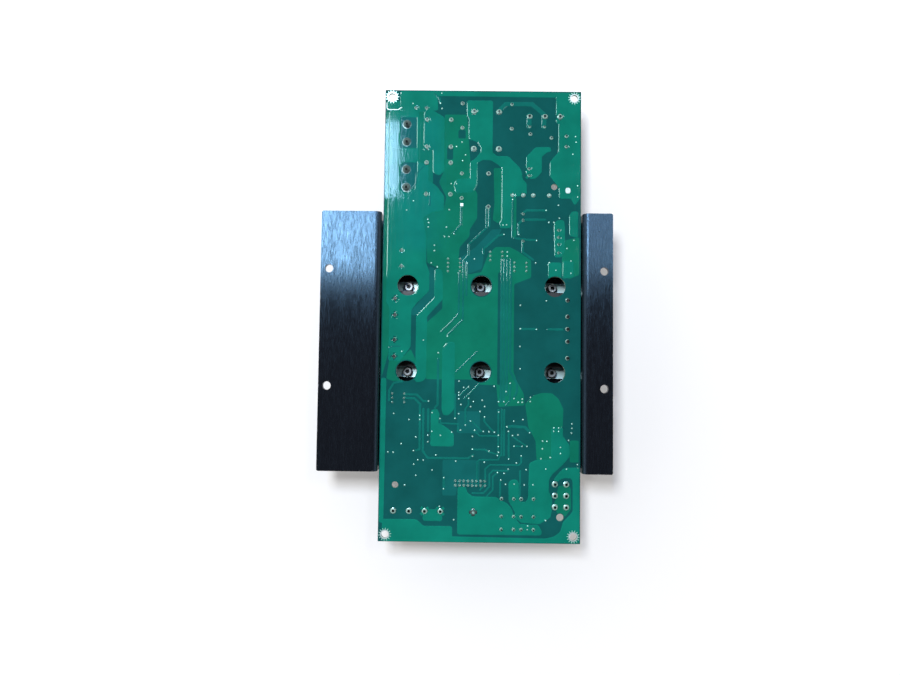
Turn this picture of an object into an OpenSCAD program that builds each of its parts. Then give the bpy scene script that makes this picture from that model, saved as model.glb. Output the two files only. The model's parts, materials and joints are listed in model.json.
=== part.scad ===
// Open-frame power supply: a converter module bolted into a folded heat sink, under a circuit board that is
// soldered to the module's pins. The solder side faces +Z and the input end +Y. Sizes are in millimetres.

/* [Heat sink] */
// Length of the folded sheet along Y
sink_l = 158; // [150:1:200]
// Thickness of the sheet
sheet_t = 3; // [2:0.1:4]
// Inside radius of the four bends
bend_r = 0.5; // [0.3:0.1:1.5]
// Gap between the board's long edges and the channel walls
wall_gap = 0.8; // [0.4:0.1:3]
// Width of the left flange, from the channel's inner face
left_flange_w = 36.4; // [20:0.1:60]
// Width of the right flange, from the channel's inner face
right_flange_w = 17.9; // [15:0.1:60]
// Height of the flanges' face above the board's solder face
flange_rise = 5; // [2:0.1:12]
// Diameter of the flange holes
flange_hole_d = 5; // [3:0.1:6]
// Distance of the flange holes from the flange's outer edge
flange_hole_inset = 5.2; // [4:0.1:8]
// Spacing of the flange holes along Y
flange_hole_pitch = 71.3; // [40:0.1:120]
// Distance of the flange holes' middle from the heat sink's centre, along Y
flange_hole_y = 7.8; // [-10:0.1:15]
// Radius of the flanges' outer corners
flange_corner_r = 1.2; // [0.5:0.1:4]

/* [Circuit board] */
// Length of the board along Y
board_l = 278; // [276:1:300]
// Thickness of the board
board_t = 1.6; // [1:0.1:2.4]
// Width of the board beyond each end of the converter
board_margin = 2.6; // [2.2:0.1:8]
// Distance of the board's centre from the heat sink's centre, along Y
board_shift = 17.7; // [15:0.1:21]
// Diameter of the corner holes
corner_hole_d = 4.2; // [3:0.1:5]
// Distance of the corner holes from the board's edges
corner_hole_inset = 4.2; // [3:0.1:6]
// Diameter of the screwdriver holes above the converter's screws
access_hole_d = 12.6; // [8:0.1:14]
// How far each screwdriver hole lies inside its screw's place, along X and Y
access_inset = [0.4, 0.6]; // [0:0.1:1]
// Distance of the screwdriver holes' middle from the converter's centre, along Y
access_shift = -0.35; // [-1:0.05:1]
// Diameter of the two tooling holes
tooling_hole_d = 3.8; // [2:0.1:4.4]
// Diameter of the locating hole beside the power connector
locating_hole_d = 4.4; // [2:0.1:4.4]
// Length of each lead above the solder face
lead_out = 1.4; // [0.8:0.1:2]
// Clearance round each lead in its hole
lead_fit = 0.12; // [0.05:0.01:0.2]
// Height of the solder on each lead
solder_h = 1; // [0.4:0.1:1.2]

/* [Converter module] */
// Distance of the converter's centre from the heat sink's centre, along Y
module_y = 8.3; // [7:0.05:9.5]
// Length of the baseplate along X
module_l = 116.8; // [115:0.1:130]
// Width of the baseplate along Y
module_w = 61; // [60:0.1:66]
// Height of the module over the thermal pad
module_h = 12.7; // [10:0.1:16]
// Thickness of the baseplate
plate_t = 3; // [2:0.1:4]
// Width of the bare ledge along each long edge of the baseplate
ledge_w = 7; // [6:0.1:9]
// Thickness of the thermal pad
pad_t = 0.2; // [0.1:0.05:0.5]
// Height of the board above the module's case
module_gap = 7.1; // [4:0.1:12]
// Spacing of the screws along X
screw_pitch_x = 45.7; // [40:0.1:48]
// Distance of the screws from the baseplate's long edge
screw_inset = 3.55; // [3.4:0.05:4.5]
// Distance of the pin columns from the baseplate's short edge
pin_inset = 5.4; // [4:0.1:7]
// Diameter of the pins where they pass the board
module_pin_d = 2; // [1.5:0.1:2.4]
// Diameter of the pins' shoulders, which carry the board
module_shoulder_d = 3.4; // [2.8:0.1:4]
// Distance of the outer pins from the module's centre line
outer_pin_y = 17.78; // [16:0.01:19]
// Distance of the inner pins from the module's centre line
inner_pin_y = 7.62; // [6:0.01:9]

/* [Converter screws] */
// Diameter of the screw's shank
screw_d = 3; // [2.5:0.1:3.2]
// Length of the shank
screw_l = 6; // [5:0.1:6.5]
// Diameter of the socket head
screw_head_d = 5.5; // [4.5:0.1:6.5]
// Height of the socket head
screw_head_h = 3; // [2:0.1:4]
// Width across flats of the hexagon socket
screw_socket = 2.5; // [1.5:0.1:2.8]
// Outer diameter of the spring washer
washer_d = 6.2; // [5.6:0.1:6.6]
// Thickness of the spring washer
washer_t = 0.8; // [0.4:0.1:1]

/* [Terminal blocks] */
// Spacing of the poles
pole_pitch = 9.5; // [8.5:0.1:10]
// Thickness of the barriers
barrier_t = 1.6; // [1:0.1:2]
// Depth from the rear face to the wire side
block_depth = 15; // [14:0.1:18]
// Height under the board
block_h = 15.5; // [14.5:0.1:19]
// Height of the floor that carries the plates
block_floor = 6.6; // [6:0.1:7.5]
// Distance of the pins from the rear face
block_rear = 3.7; // [3:0.1:4.5]
// Thickness of each plate
plate_sheet_t = 0.8; // [0.5:0.1:1]
// Diameter of each plate's soldered leg
plate_leg_d = 1.6; // [1:0.1:1.8]
// Diameter of the terminal screw's head
terminal_head_d = 6.2; // [5:0.1:6.4]
// Height of the terminal screw's head
terminal_head_h = 2.4; // [1.6:0.1:3]
// Diameter of the terminal screw's shank
terminal_screw_d = 3; // [2:0.1:3.5]

/* [Capacitors] */
// Diameter of the bulk capacitors
bulk_d = 20; // [18:0.1:21]
// Height of the bulk capacitors
bulk_h = 20; // [16:0.5:21.5]
// Lead spacing of the bulk capacitors
bulk_pitch = 11.1; // [8:0.1:13]
// Thickness of the film capacitors
film_w = 6; // [5:0.1:7]
// Length of the film capacitors
film_l = 18; // [17.5:0.1:19]
// Height of the film capacitors
film_h = 14; // [10:0.5:18]
// Lead spacing of the film capacitors
film_pitch = 15.5; // [14:0.1:16]
// Size of the small film capacitor beside the converter
side_film_size = [5, 13, 11]; // [4:0.1:16]
// Lead spacing of the small film capacitor
side_film_pitch = 9.7; // [8:0.1:11]
// Size of the snubber capacitor
snubber_size = [4.5, 7.2, 9]; // [4:0.1:12]
// Lead spacing of the snubber capacitor
snubber_pitch = 4.2; // [3:0.1:5.5]
// Size of each output capacitor
output_film_size = [10.4, 6, 11]; // [5:0.1:16]
// Lead spacing of the output capacitors
output_film_pitch = 7.45; // [6:0.05:8.5]
// Diameter of the safety capacitors
safety_d = 8.4; // [7.5:0.1:9.5]
// Thickness of the safety capacitors
safety_t = 3.6; // [3:0.1:4]
// Lead spacing of the safety capacitors
safety_pitch = 6.5; // [5:0.1:7]

/* [Chokes] */
// Width of the input chokes
choke_w = 17.4; // [16.6:0.1:18.2]
// Distance between the pin rows of the first input choke
choke_1_rows = 17.1; // [16:0.1:18]
// Distance between the pin rows of the second input choke
choke_2_rows = 19.8; // [18:0.1:21]
// Distance between the pins in a row
choke_pin_pitch = 15; // [13:0.1:15.4]
// Height of the input chokes
choke_h = 13; // [12.6:0.1:18]
// Diameter of the core's round legs
choke_leg_d = 4.4; // [3.5:0.1:4.8]
// Distance between the core's legs
choke_leg_pitch = 8.8; // [8.6:0.1:9]
// Thickness of the core's yokes
choke_yoke_t = 2.6; // [2:0.1:2.8]
// Diameter of the choke's enamelled wire
choke_wire_d = 1; // [0.8:0.05:1.2]
// Outer diameter of the line choke's core
toroid_d = 20; // [19:0.1:20.6]
// Inner diameter of the line choke's core
toroid_bore = 10.6; // [10.4:0.1:12]
// Height of the line choke's core
toroid_h = 10; // [6:0.1:14]
// Diameter of the line choke's wire
toroid_wire_d = 1; // [0.7:0.05:1.1]
// Turns in each half of the line choke's winding
toroid_turns = 10; // [6:1:11]
// Size of the line choke's base
toroid_base = [19, 27, 2]; // [1.5:0.1:28]
// Distance between the line choke's pins along X and Y
toroid_pins = [15.5, 23.5]; // [14:0.1:24]

/* [Input protection] */
// Diameter of the fuse's glass tube
fuse_glass_d = 4.8; // [4.2:0.1:5.2]
// Wall of the fuse's glass tube
fuse_glass_wall = 0.5; // [0.3:0.1:0.8]
// Length of the fuse
fuse_l = 20; // [19:0.1:21]
// Length of the fuse's end caps
fuse_cap_l = 5; // [4.5:0.1:6]
// Thickness of the fuse's end caps
fuse_cap_t = 0.25; // [0.2:0.05:0.4]
// Thickness of the fuse clips' sheet
clip_t = 0.5; // [0.3:0.05:0.7]
// Width of the fuse clips
clip_w = 4; // [3:0.1:4.4]
// Distance between the fuse clips' leads
clip_pitch = 20.9; // [20.4:0.1:22]
// Diameter of the varistor
varistor_d = 14; // [11.5:0.1:15]
// Thickness of the varistor
varistor_t = 3.6; // [3:0.1:4]
// Lead spacing of the varistor
varistor_pitch = 9.3; // [7:0.1:10]
// Diameter of the thermistor
thermistor_d = 15; // [14.6:0.1:16]
// Thickness of the thermistor
thermistor_t = 4; // [3:0.1:4.4]
// Lead spacing of the thermistor
thermistor_pitch = 13.3; // [11:0.1:13.6]
// Turn of the thermistor on the board, in degrees
thermistor_turn = -10; // [-10:1:10]
// Size of the bridge rectifier
bridge_size = [27, 4.6, 17]; // [4:0.1:28]
// Offsets of the bridge rectifier's leads from its middle
bridge_leads = [-11.3, -4.7, 1.4, 11.3]; // [-12:0.1:12]

/* [Bias transformer] */
// Size of the transformer's core along X, Y and Z
trafo_core = [19, 20, 5]; // [4:0.1:21]
// Thickness of the core's outer legs and yokes
trafo_leg_t = 2.4; // [2:0.1:2.6]
// Width of the core's middle leg
trafo_middle_w = 4.8; // [4:0.1:5]
// Distance between the pin rows
trafo_rows = 21.9; // [21.5:0.1:23]
// Height of the core's middle plane under the board
trafo_axis_h = 8; // [8:0.1:9]
// Height of the bobbin's flanges
trafo_h = 14; // [13.6:0.1:15]
// Distances of the input-side pins from the transformer's middle
trafo_left_pins = [-4.9, 8, 12]; // [-12:0.1:12]
// Distances of the output-side pins from the transformer's middle
trafo_right_pins = [-12, -6.9, -2.4, 2]; // [-12:0.1:12]

/* [Chips and connectors] */
// Distance between the pin rows of the dual in-line chips
dip_rows = 7.4; // [7:0.1:7.8]
// Pin pitch of the dual in-line chips and of the signal header
pin_pitch = 2.54; // [2.4:0.01:2.6]
// Pins in each row of the signal header
header_columns = 8; // [4:1:8]
// Height of the signal header's shroud
header_h = 9; // [8:0.1:10]
// Wall of the signal header's shroud
header_wall = 1.2; // [0.8:0.1:1.5]
// Distance between the power connector's pins
power_pitch = 6.86; // [6.5:0.01:7]
// Diameter of the power connector's pins
power_pin_d = 2.1; // [1.5:0.1:2.2]
// Height of the power connector's housing
power_h = 16; // [14:0.1:20]
// Wall of the power connector's housing
power_wall = 1.4; // [1:0.1:1.6]
// Diameter of the turret post's flange
turret_d = 5; // [4:0.1:6]
// Height of the turret post
turret_h = 9; // [6:0.1:12]

/* [Layout across the board] */
// Gap from the board's left edge to the bulk capacitors
edge_gap = 3.7; // [2:0.1:4]
// Gap from the bulk capacitors to the input chokes
bulk_gap = 1.3; // [0.6:0.1:1.5]
// Gap from the input chokes to the film capacitors
film_gap = 2.8; // [1.5:0.1:3]
// Gap from the film capacitors to the line choke
line_gap = 1; // [0.5:0.1:1.2]
// Gap from the line choke to the input film capacitor
input_film_gap = 1.7; // [0.6:0.1:2]
// Gap from the input film capacitor to the input terminal block
block_gap = 2.45; // [0.6:0.05:3]
// Distance of the output terminal block from the board's left edge
output_block_gap = 3.5; // [2:0.1:6]
// Distance of the power connector's middle from the board's right edge
power_gap = 11.9; // [11:0.1:13]

/* [Layout along the board] */
// Distances of the bulk capacitors from the input edge
bulk_rows = [27.25, 55.8]; // [20:0.05:60]
// Distances of the input chokes from the input edge
choke_rows = [27.1, 55.6]; // [20:0.1:60]
// Distances of the three film capacitors from the input edge
film_rows = [16.1, 15.8, 60.1]; // [12:0.1:64]
// Distance of the line choke from the input edge
line_row = 25; // [22:0.1:28]
// Distance of the fuse from the input edge
fuse_row = 62.75; // [58:0.05:64]
// Distance of the input terminal block's pins from the input edge
input_block_row = 16; // [14.5:0.1:16.4]
// Gap from the input terminal block to the varistor
varistor_gap = 0.9; // [0.5:0.1:2]
// Gap from the varistor to the thermistor
thermistor_gap = 0.8; // [0.5:0.1:3]
// Distance of the bridge rectifier's leads from the converter's centre, along Y
bridge_row = 82.7; // [82:0.1:85]
// Distance of the transformer's middle from the converter's centre
trafo_row = 59.1; // [58:0.05:60]
// Distance of the output terminal block's pins from the output edge
output_block_row = 18.4; // [15:0.1:22]
// Distance of the signal header from the output edge
header_row = 35.4; // [34:0.1:36]
// Distance of the power connector from the output edge
power_row = 28.6; // [28:0.1:30]
// Distances of the output capacitors' rows from the output edge
output_film_rows = [8.1, 15.8, 26.4]; // [6:0.1:30]

/* [Layout of the smaller parts] */
// Place of the snubber capacitor, from the centre line and the converter's centre
snubber_place = [28.85, 97.25]; // [20:0.05:100]
// Place of the first safety capacitor, from the centre line and the input edge
safety_1_place = [51.8, 31.6]; // [20:0.05:60]
// Place of the second safety capacitor, from the centre line and the input edge
safety_2_place = [-38.6, 11.2]; // [-42:0.05:14]
// Distance of the fuse from the centre line
fuse_x = 3.8; // [2:0.1:6]
// Distance of the bridge rectifier from the centre line
bridge_x = 30.1; // [28:0.1:32]
// Distance of the transformer from the centre line
trafo_x = 36.35; // [34:0.05:38]
// Shift of the thermistor from the input terminal block's middle
thermistor_shift = -2.35; // [-4:0.05:4]
// Place of the driver chip, from the converter's centre
driver_place = [-17, 38.8]; // [-20:0.05:45]
// Places of the optocouplers, from the converter's centre
opto_places = [[9, 44.7], [23.9, 38.1], [-50.1, -43.2]];
// Place of the small film capacitor, from the converter's centre
side_film_place = [-49.5, 42.7]; // [-52:0.05:48]
// Places of the control chips, from the converter's centre
chip_places = [[-6, -53], [16, -66], [-27, -68]];
// Distance of the signal header from the centre line
header_x = -5.6; // [-8:0.1:0]
// Place of the turret post, from the centre line and the output edge
turret_place = [-3.6, 18.1]; // [-5:0.1:20]
// Distances of the output capacitors' columns from the centre line
output_film_columns = [17.15, 29.1]; // [16:0.05:31]
// Place of the first tooling hole, from the centre line and the input edge
tooling_1_place = [44.5, 60.2]; // [40:0.1:62]
// Place of the second tooling hole, from the centre line and the output edge
tooling_2_place = [-51.1, 34]; // [-54:0.1:36]
// Place of the locating hole, from the centre line and the output edge
locating_place = [48.8, 15.7]; // [12:0.1:50]

/* [Hidden] */
$fn = 48;

// Levels, from the heat sink's underside upward
plate_z = sheet_t + pad_t;
ledge_z = plate_z + plate_t;
case_top = plate_z + module_h;
board_z = case_top + module_gap;
board_top = board_z + board_t;
flange_top = board_top + flange_rise;

// Outlines of the board and of the heat sink
board_w = module_l + 2 * board_margin;
input_edge = board_shift + board_l / 2;
output_edge = board_shift - board_l / 2;
channel_x = board_w / 2 + wall_gap;
bend_out = bend_r + sheet_t;
sink_left = -channel_x - left_flange_w;
sink_right = channel_x + right_flange_w;

// Fits that no size above sets
fit = 0.1;
screw_fit = 0.2;
solder_fit = 0.04;

// Places given from an edge of the board or from the converter's centre
function from_input(p) = [p.x, input_edge - p.y];
function from_output(p) = [p.x, output_edge + p.y];
function from_module(p) = [p.x, module_y + p.y];
function pair_x(pitch) = [[-pitch / 2, 0], [pitch / 2, 0]];
function pair_y(pitch) = [[0, -pitch / 2], [0, pitch / 2]];
function four(pitch) = [for (x = [-1, 1], y = [-1, 1]) [x * pitch.x / 2, y * pitch.y / 2]];

// Converter
case_w = module_w - 2 * ledge_w;
case_inset = 0.6;
case_lid_t = 1;
pin_seat = 4;
collar_h = 0.8;
screw_row = module_w / 2 - screw_inset;
screw_places = [for (x = [-1:1], y = [-1, 1]) [x * screw_pitch_x, module_y + y * screw_row]];
access_x = screw_pitch_x - access_inset.x;
access_row = screw_row - access_inset.y;
access_places = [
    for (x = [-1:1], y = [-1, 1]) [x * access_x, module_y + access_shift + y * access_row]
];
module_pin_x = module_l / 2 - pin_inset;
signal_rows = [-outer_pin_y, -inner_pin_y, inner_pin_y, outer_pin_y];
input_pin_places = [for (y = signal_rows) [-module_pin_x, module_y + y]];
output_pin_places = [for (y = concat(signal_rows, 0)) [module_pin_x, module_y + y]];

// Terminal blocks
function block_l(poles) = poles * pole_pitch + barrier_t;
function pole_points(poles) = [for (i = [1:poles]) [(i - (poles + 1) / 2) * pole_pitch, 0]];
input_poles = 3;
output_poles = 4;
block_back_t = 2;
terminal_screw_y = 4.6;
terminal_screw_end = 2;
plate_back = 1.2;
plate_front = 9.2;

// Columns of the input end, from left to right
line_choke_d = toroid_d + 2 * toroid_wire_d;
bulk_x = -board_w / 2 + edge_gap + bulk_d / 2;
choke_x = bulk_x + bulk_d / 2 + bulk_gap + choke_w / 2;
film_x = choke_x + choke_w / 2 + film_gap + film_w / 2;
line_x = film_x + film_w / 2 + line_gap + line_choke_d / 2;
input_film_x = line_x + line_choke_d / 2 + input_film_gap + film_w / 2;
input_block_x = input_film_x + film_w / 2 + block_gap + block_l(input_poles) / 2;

// Places on the board
bulk_places = [for (row = bulk_rows) from_input([bulk_x, row])];
choke_places = [for (row = choke_rows) from_input([choke_x, row])];
film_places = [
    from_input([input_film_x, film_rows[0]]),
    from_input([film_x, film_rows[1]]),
    from_input([film_x, film_rows[2]])
];
line_place = from_input([line_x, line_row]);
fuse_place = from_input([fuse_x, fuse_row]);
bridge_place = from_module([bridge_x, bridge_row]);
input_block_place = from_input([input_block_x, input_block_row]);
varistor_y = input_block_place.y - block_rear - varistor_gap - varistor_t / 2;
varistor_place = [input_block_x - pole_pitch / 2, varistor_y];
thermistor_half = thermistor_d / 2 * abs(sin(thermistor_turn)) + thermistor_t / 2 * cos(thermistor_turn);
thermistor_y = varistor_y - varistor_t / 2 - thermistor_gap - thermistor_half;
thermistor_place = [input_block_x + thermistor_shift, thermistor_y];
trafo_place = from_module([trafo_x, trafo_row]);
output_block_x = -board_w / 2 + output_block_gap + block_l(output_poles) / 2;
output_block_place = from_output([output_block_x, output_block_row]);
header_place = from_output([header_x, header_row]);
power_place = from_output([board_w / 2 - power_gap, power_row]);
output_film_places = [for (x = output_film_columns, y = output_film_rows) from_output([x, y])];
corner_holes = [
    for (x = [-1, 1], y = [input_edge - corner_hole_inset, output_edge + corner_hole_inset])
        [x * (board_w / 2 - corner_hole_inset), y]
];

// Lead and solder-pad diameters
bulk_lead = [1.5, 6.2];
leg_lead = [plate_leg_d, 3.6];
module_lead = [module_pin_d, 3.8];
choke_lead = [0.9, 2.8];
line_lead = [1.2, 3.6];
film_lead = [0.8, 2.4];
disc_lead = [0.8, 2.2];
bridge_lead = [1.1, 2.6];
trafo_lead = [0.7, 2];
dip_lead = [0.6, 1.5];
header_lead = [0.92, 1.7];
power_lead = [1.6, 3.6];
clip_lead = [1.2, 2.8];
turret_lead = [1.5, 4.6];

// Lead points of each part, from the part's own place
bulk_points = pair_y(bulk_pitch);
film_points = pair_y(film_pitch);
side_film_points = pair_y(side_film_pitch);
snubber_points = pair_y(snubber_pitch);
output_film_points = pair_x(output_film_pitch);
safety_points = pair_x(safety_pitch);
varistor_points = pair_x(varistor_pitch);
thermistor_points = pair_x(thermistor_pitch);
clip_points = pair_y(clip_pitch);
choke_1_points = four([choke_pin_pitch, choke_1_rows]);
choke_2_points = four([choke_pin_pitch, choke_2_rows]);
line_points = four(toroid_pins);
bridge_points = [for (x = bridge_leads) [x, 0]];
trafo_points = concat(
    [for (y = trafo_left_pins) [-trafo_rows / 2, y]],
    [for (y = trafo_right_pins) [trafo_rows / 2, y]]
);
function dip_points(pins) =
    [for (x = [-1, 1], i = [1:pins]) [x * dip_rows / 2, (i - (pins + 1) / 2) * pin_pitch]];
opto_pins = 3;
driver_pins = 4;
header_points = [
    for (i = [1:header_columns], y = [-1, 1]) [(i - (header_columns + 1) / 2) * pin_pitch, y * pin_pitch / 2]
];
power_points = [for (x = [-0.5, 0.5], y = [-1:1]) [x * power_pitch, y * power_pitch]];

// Every lead that passes the board, as x, y, lead diameter and pad diameter
function turned(p, a) = [p.x * cos(a) - p.y * sin(a), p.x * sin(a) + p.y * cos(a)];
function placed(at, points, lead, turn = 0) =
    [for (p = points) let (q = at + turned(p, turn)) [q.x, q.y, lead[0], lead[1]]];
all_leads = concat(
    placed([0, 0], concat(input_pin_places, output_pin_places), module_lead),
    placed(input_block_place, pole_points(input_poles), leg_lead),
    placed(output_block_place, pole_points(output_poles), leg_lead),
    placed(bulk_places[0], bulk_points, bulk_lead),
    placed(bulk_places[1], bulk_points, bulk_lead),
    [for (at = film_places) each placed(at, film_points, film_lead)],
    placed(from_module(side_film_place), side_film_points, film_lead),
    placed(from_module(snubber_place), snubber_points, disc_lead),
    placed(from_input(safety_1_place), safety_points, disc_lead, 90),
    placed(from_input(safety_2_place), safety_points, disc_lead),
    placed(choke_places[0], choke_1_points, choke_lead),
    placed(choke_places[1], choke_2_points, choke_lead),
    placed(line_place, line_points, line_lead),
    placed(fuse_place, clip_points, clip_lead),
    placed(varistor_place, varistor_points, disc_lead),
    placed(thermistor_place, thermistor_points, disc_lead, thermistor_turn),
    placed(bridge_place, bridge_points, bridge_lead),
    placed(trafo_place, trafo_points, trafo_lead),
    [for (at = opto_places) each placed(from_module(at), dip_points(opto_pins), dip_lead)],
    placed(from_module(driver_place), dip_points(driver_pins), dip_lead),
    placed(header_place, header_points, header_lead),
    placed(power_place, power_points, power_lead),
    [for (at = output_film_places) each placed(at, output_film_points, disc_lead)],
    placed(from_output(turret_place), [[0, 0]], turret_lead)
);

// A rectangle with round corners, about its middle
module rounded(size, r) {
    square([size.x - 2 * r, size.y], center = true);
    square([size.x, size.y - 2 * r], center = true);
    for (x = [-1, 1], y = [-1, 1])
        translate([x * (size.x / 2 - r), y * (size.y / 2 - r)])
            circle(r);
}

// Stands its children on the board's component face, with their own +Z leading away from the board
module under_board(at, turn = 0)
    translate([at.x, at.y, board_z])
        mirror([0, 0, 1])
            rotate(turn)
                children();

// Round leads that reach up into a part from above the solder face
module leads(points, d, reach)
    for (p = points)
        translate([p.x, p.y, -board_t - lead_out])
            cylinder(d = d, h = board_t + lead_out + reach);

// Heat sink: one folded sheet
module bend()
    difference() {
        intersection() {
            circle(bend_out);
            square(bend_out);
        }
        circle(bend_r);
    }

module sink_half(flange_w) {
    square([channel_x - bend_r, sheet_t]);
    translate([channel_x - bend_r, bend_out])
        mirror([0, 1])
            bend();
    translate([channel_x, bend_out])
        square([sheet_t, flange_top - 2 * bend_out]);
    translate([channel_x + bend_out, flange_top - bend_out])
        mirror([1, 0])
            bend();
    translate([channel_x + bend_out, flange_top - sheet_t])
        square([flange_w - bend_out, sheet_t]);
}

module sink_outline()
    translate([(sink_left + sink_right) / 2, 0])
        rounded([sink_right - sink_left, sink_l], flange_corner_r);

module heat_sink()
    color([0.06, 0.06, 0.07])
        difference() {
            intersection() {
                rotate([90, 0, 0])
                    linear_extrude(sink_l, center = true) {
                        sink_half(right_flange_w);
                        mirror([1, 0])
                            sink_half(left_flange_w);
                    }
                linear_extrude(flange_top)
                    sink_outline();
            }
            for (x = [sink_left + flange_hole_inset, sink_right - flange_hole_inset], y = [-1, 1])
                translate([x, flange_hole_y + y * flange_hole_pitch / 2, flange_top - 2 * sheet_t])
                    cylinder(d = flange_hole_d, h = 3 * sheet_t);
            for (p = screw_places)
                translate([p.x, p.y, -sheet_t])
                    cylinder(d = screw_d + 2 * fit, h = 3 * sheet_t);
        }

// Circuit board
module board_hole(at, d)
    translate([at.x, at.y, board_z - board_t])
        cylinder(d = d, h = 3 * board_t);

module circuit_board()
    color([0, 0.36, 0.3])
        difference() {
            translate([-board_w / 2, output_edge, board_z])
                cube([board_w, board_l, board_t]);
            for (p = corner_holes)
                board_hole(p, corner_hole_d);
            for (p = access_places)
                board_hole(p, access_hole_d);
            board_hole(from_input(tooling_1_place), tooling_hole_d);
            board_hole(from_output(tooling_2_place), tooling_hole_d);
            board_hole(from_output(locating_place), locating_hole_d);
            for (lead = all_leads)
                board_hole(lead, lead[2] + 2 * lead_fit);
        }

// One solder joint: a hollow-sided cone round its lead
module solder_cone(lead_d, pad_d) {
    bore = lead_d / 2 + solder_fit;
    tip = bore + 0.18;
    foot = 0.1;
    steps = 4;
    rotate_extrude($fn = 24)
        polygon(concat(
            [[bore, 0], [pad_d / 2, 0]],
            [
                for (i = [0:steps])
                    let (t = i / steps)
                        [tip + (pad_d / 2 - tip) * pow(1 - t, 2), foot + (solder_h - foot) * t]
            ],
            [[bore, solder_h]]
        ));
}

module solder_joints()
    color([0.8, 0.82, 0.84])
        for (lead = all_leads)
            translate([lead[0], lead[1], board_top])
                solder_cone(lead[2], lead[3]);

// Converter module
module thermal_pad()
    color([0.85, 0.85, 0.8])
        difference() {
            translate([0, module_y, sheet_t])
                linear_extrude(pad_t)
                    rounded([module_l, module_w], 1);
            for (p = screw_places)
                translate([p.x, p.y, 0])
                    cylinder(d = screw_d + 2 * screw_fit, h = ledge_z);
        }

module converter_baseplate()
    color([0.82, 0.83, 0.84])
        difference() {
            translate([0, module_y, plate_z])
                linear_extrude(plate_t)
                    rounded([module_l, module_w], 1);
            for (p = screw_places)
                translate([p.x, p.y, 0])
                    cylinder(d = screw_d + 2 * screw_fit, h = 2 * ledge_z);
        }

module converter_case() {
    case_size = [module_l - 2 * case_inset, case_w];
    lid_size = case_size - [2, 2] * case_lid_t;
    pins = concat(input_pin_places, output_pin_places);
    color([0.08, 0.08, 0.09])
        difference() {
            union() {
                translate([0, module_y, ledge_z])
                    linear_extrude(module_h - plate_t - case_lid_t)
                        rounded(case_size, 2);
                translate([0, module_y, ledge_z])
                    linear_extrude(module_h - plate_t)
                        rounded(lid_size, 1.5);
                for (p = pins)
                    translate([p.x, p.y, case_top - case_lid_t])
                        cylinder(d = module_shoulder_d + 1.2, h = case_lid_t + collar_h);
            }
            for (p = pins)
                translate([p.x, p.y, case_top - pin_seat])
                    cylinder(d = module_pin_d + 2 * fit, h = 2 * pin_seat);
        }
}

// A pin with a shoulder between the case's collar and the board
module converter_pin() {
    r = module_pin_d / 2;
    tip = board_top + lead_out;
    chamfer = 0.3;
    rotate_extrude()
        polygon([
            [0, case_top - pin_seat], [r, case_top - pin_seat], [r, case_top + collar_h],
            [module_shoulder_d / 2, case_top + collar_h], [module_shoulder_d / 2, board_z],
            [r, board_z], [r, tip - chamfer], [r - chamfer, tip], [0, tip]
        ]);
}

module converter_input_pins()
    color([0.85, 0.78, 0.5])
        for (p = input_pin_places)
            translate([p.x, p.y, 0])
                converter_pin();

module converter_output_pins()
    color([0.85, 0.78, 0.5])
        for (p = output_pin_places)
            translate([p.x, p.y, 0])
                converter_pin();

module converter_screws() {
    head_r = screw_head_d / 2;
    r = screw_d / 2;
    chamfer = 0.4;
    socket_depth = screw_head_h / 2;
    color([0.75, 0.76, 0.78])
        for (p = screw_places)
            translate([p.x, p.y, ledge_z + washer_t])
                difference() {
                    rotate_extrude()
                        polygon([
                            [0, -screw_l], [r - chamfer, -screw_l], [r, chamfer - screw_l], [r, 0],
                            [head_r, 0], [head_r, screw_head_h - chamfer],
                            [head_r - chamfer, screw_head_h], [0, screw_head_h]
                        ]);
                    translate([0, 0, screw_head_h - socket_depth])
                        cylinder(d = screw_socket / cos(30), h = screw_head_h, $fn = 6);
                }
}

module converter_washers() {
    split_w = 0.6;
    color([0.16, 0.16, 0.17])
        for (p = screw_places)
            translate([p.x, p.y, ledge_z])
                difference() {
                    cylinder(d = washer_d, h = washer_t);
                    translate([0, 0, -washer_t])
                        cylinder(d = screw_d + 2 * screw_fit, h = 3 * washer_t);
                    rotate(70)
                        translate([0, -split_w / 2, -washer_t])
                            cube([washer_d, split_w, 3 * washer_t]);
                }
}

// Terminal blocks: a floor with barriers between the poles, open to the wire side
module barrier() {
    front = block_depth - block_rear;
    slope = 3;
    rotate([90, 0, 90])
        linear_extrude(barrier_t, center = true)
            polygon([
                [-block_rear, 0], [front, 0], [front, block_h - slope],
                [front - slope, block_h], [-block_rear, block_h]
            ]);
}

module terminal_block(poles)
    difference() {
        union() {
            translate([-block_l(poles) / 2, -block_rear, 0])
                cube([block_l(poles), block_depth, block_floor]);
            translate([-block_l(poles) / 2, -block_rear, 0])
                cube([block_l(poles), block_back_t, block_h]);
            for (i = [0:poles])
                translate([(i - poles / 2) * pole_pitch, 0, 0])
                    barrier();
        }
        for (p = pole_points(poles)) {
            translate([p.x, 0, -block_floor])
                cylinder(d = plate_leg_d + 2 * fit, h = 3 * block_floor);
            translate([p.x, terminal_screw_y, terminal_screw_end - fit])
                cylinder(d = terminal_screw_d + 2 * fit, h = block_floor);
        }
    }

module terminal_plates(poles) {
    w = pole_pitch - barrier_t - 4 * fit;
    for (p = pole_points(poles))
        difference() {
            union() {
                translate([p.x - w / 2, -plate_back, block_floor])
                    cube([w, plate_front + plate_back, plate_sheet_t]);
                leads([p], plate_leg_d, block_floor);
            }
            translate([p.x, terminal_screw_y, block_floor - plate_sheet_t])
                cylinder(d = terminal_screw_d + 2 * fit, h = 3 * plate_sheet_t);
        }
}

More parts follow.
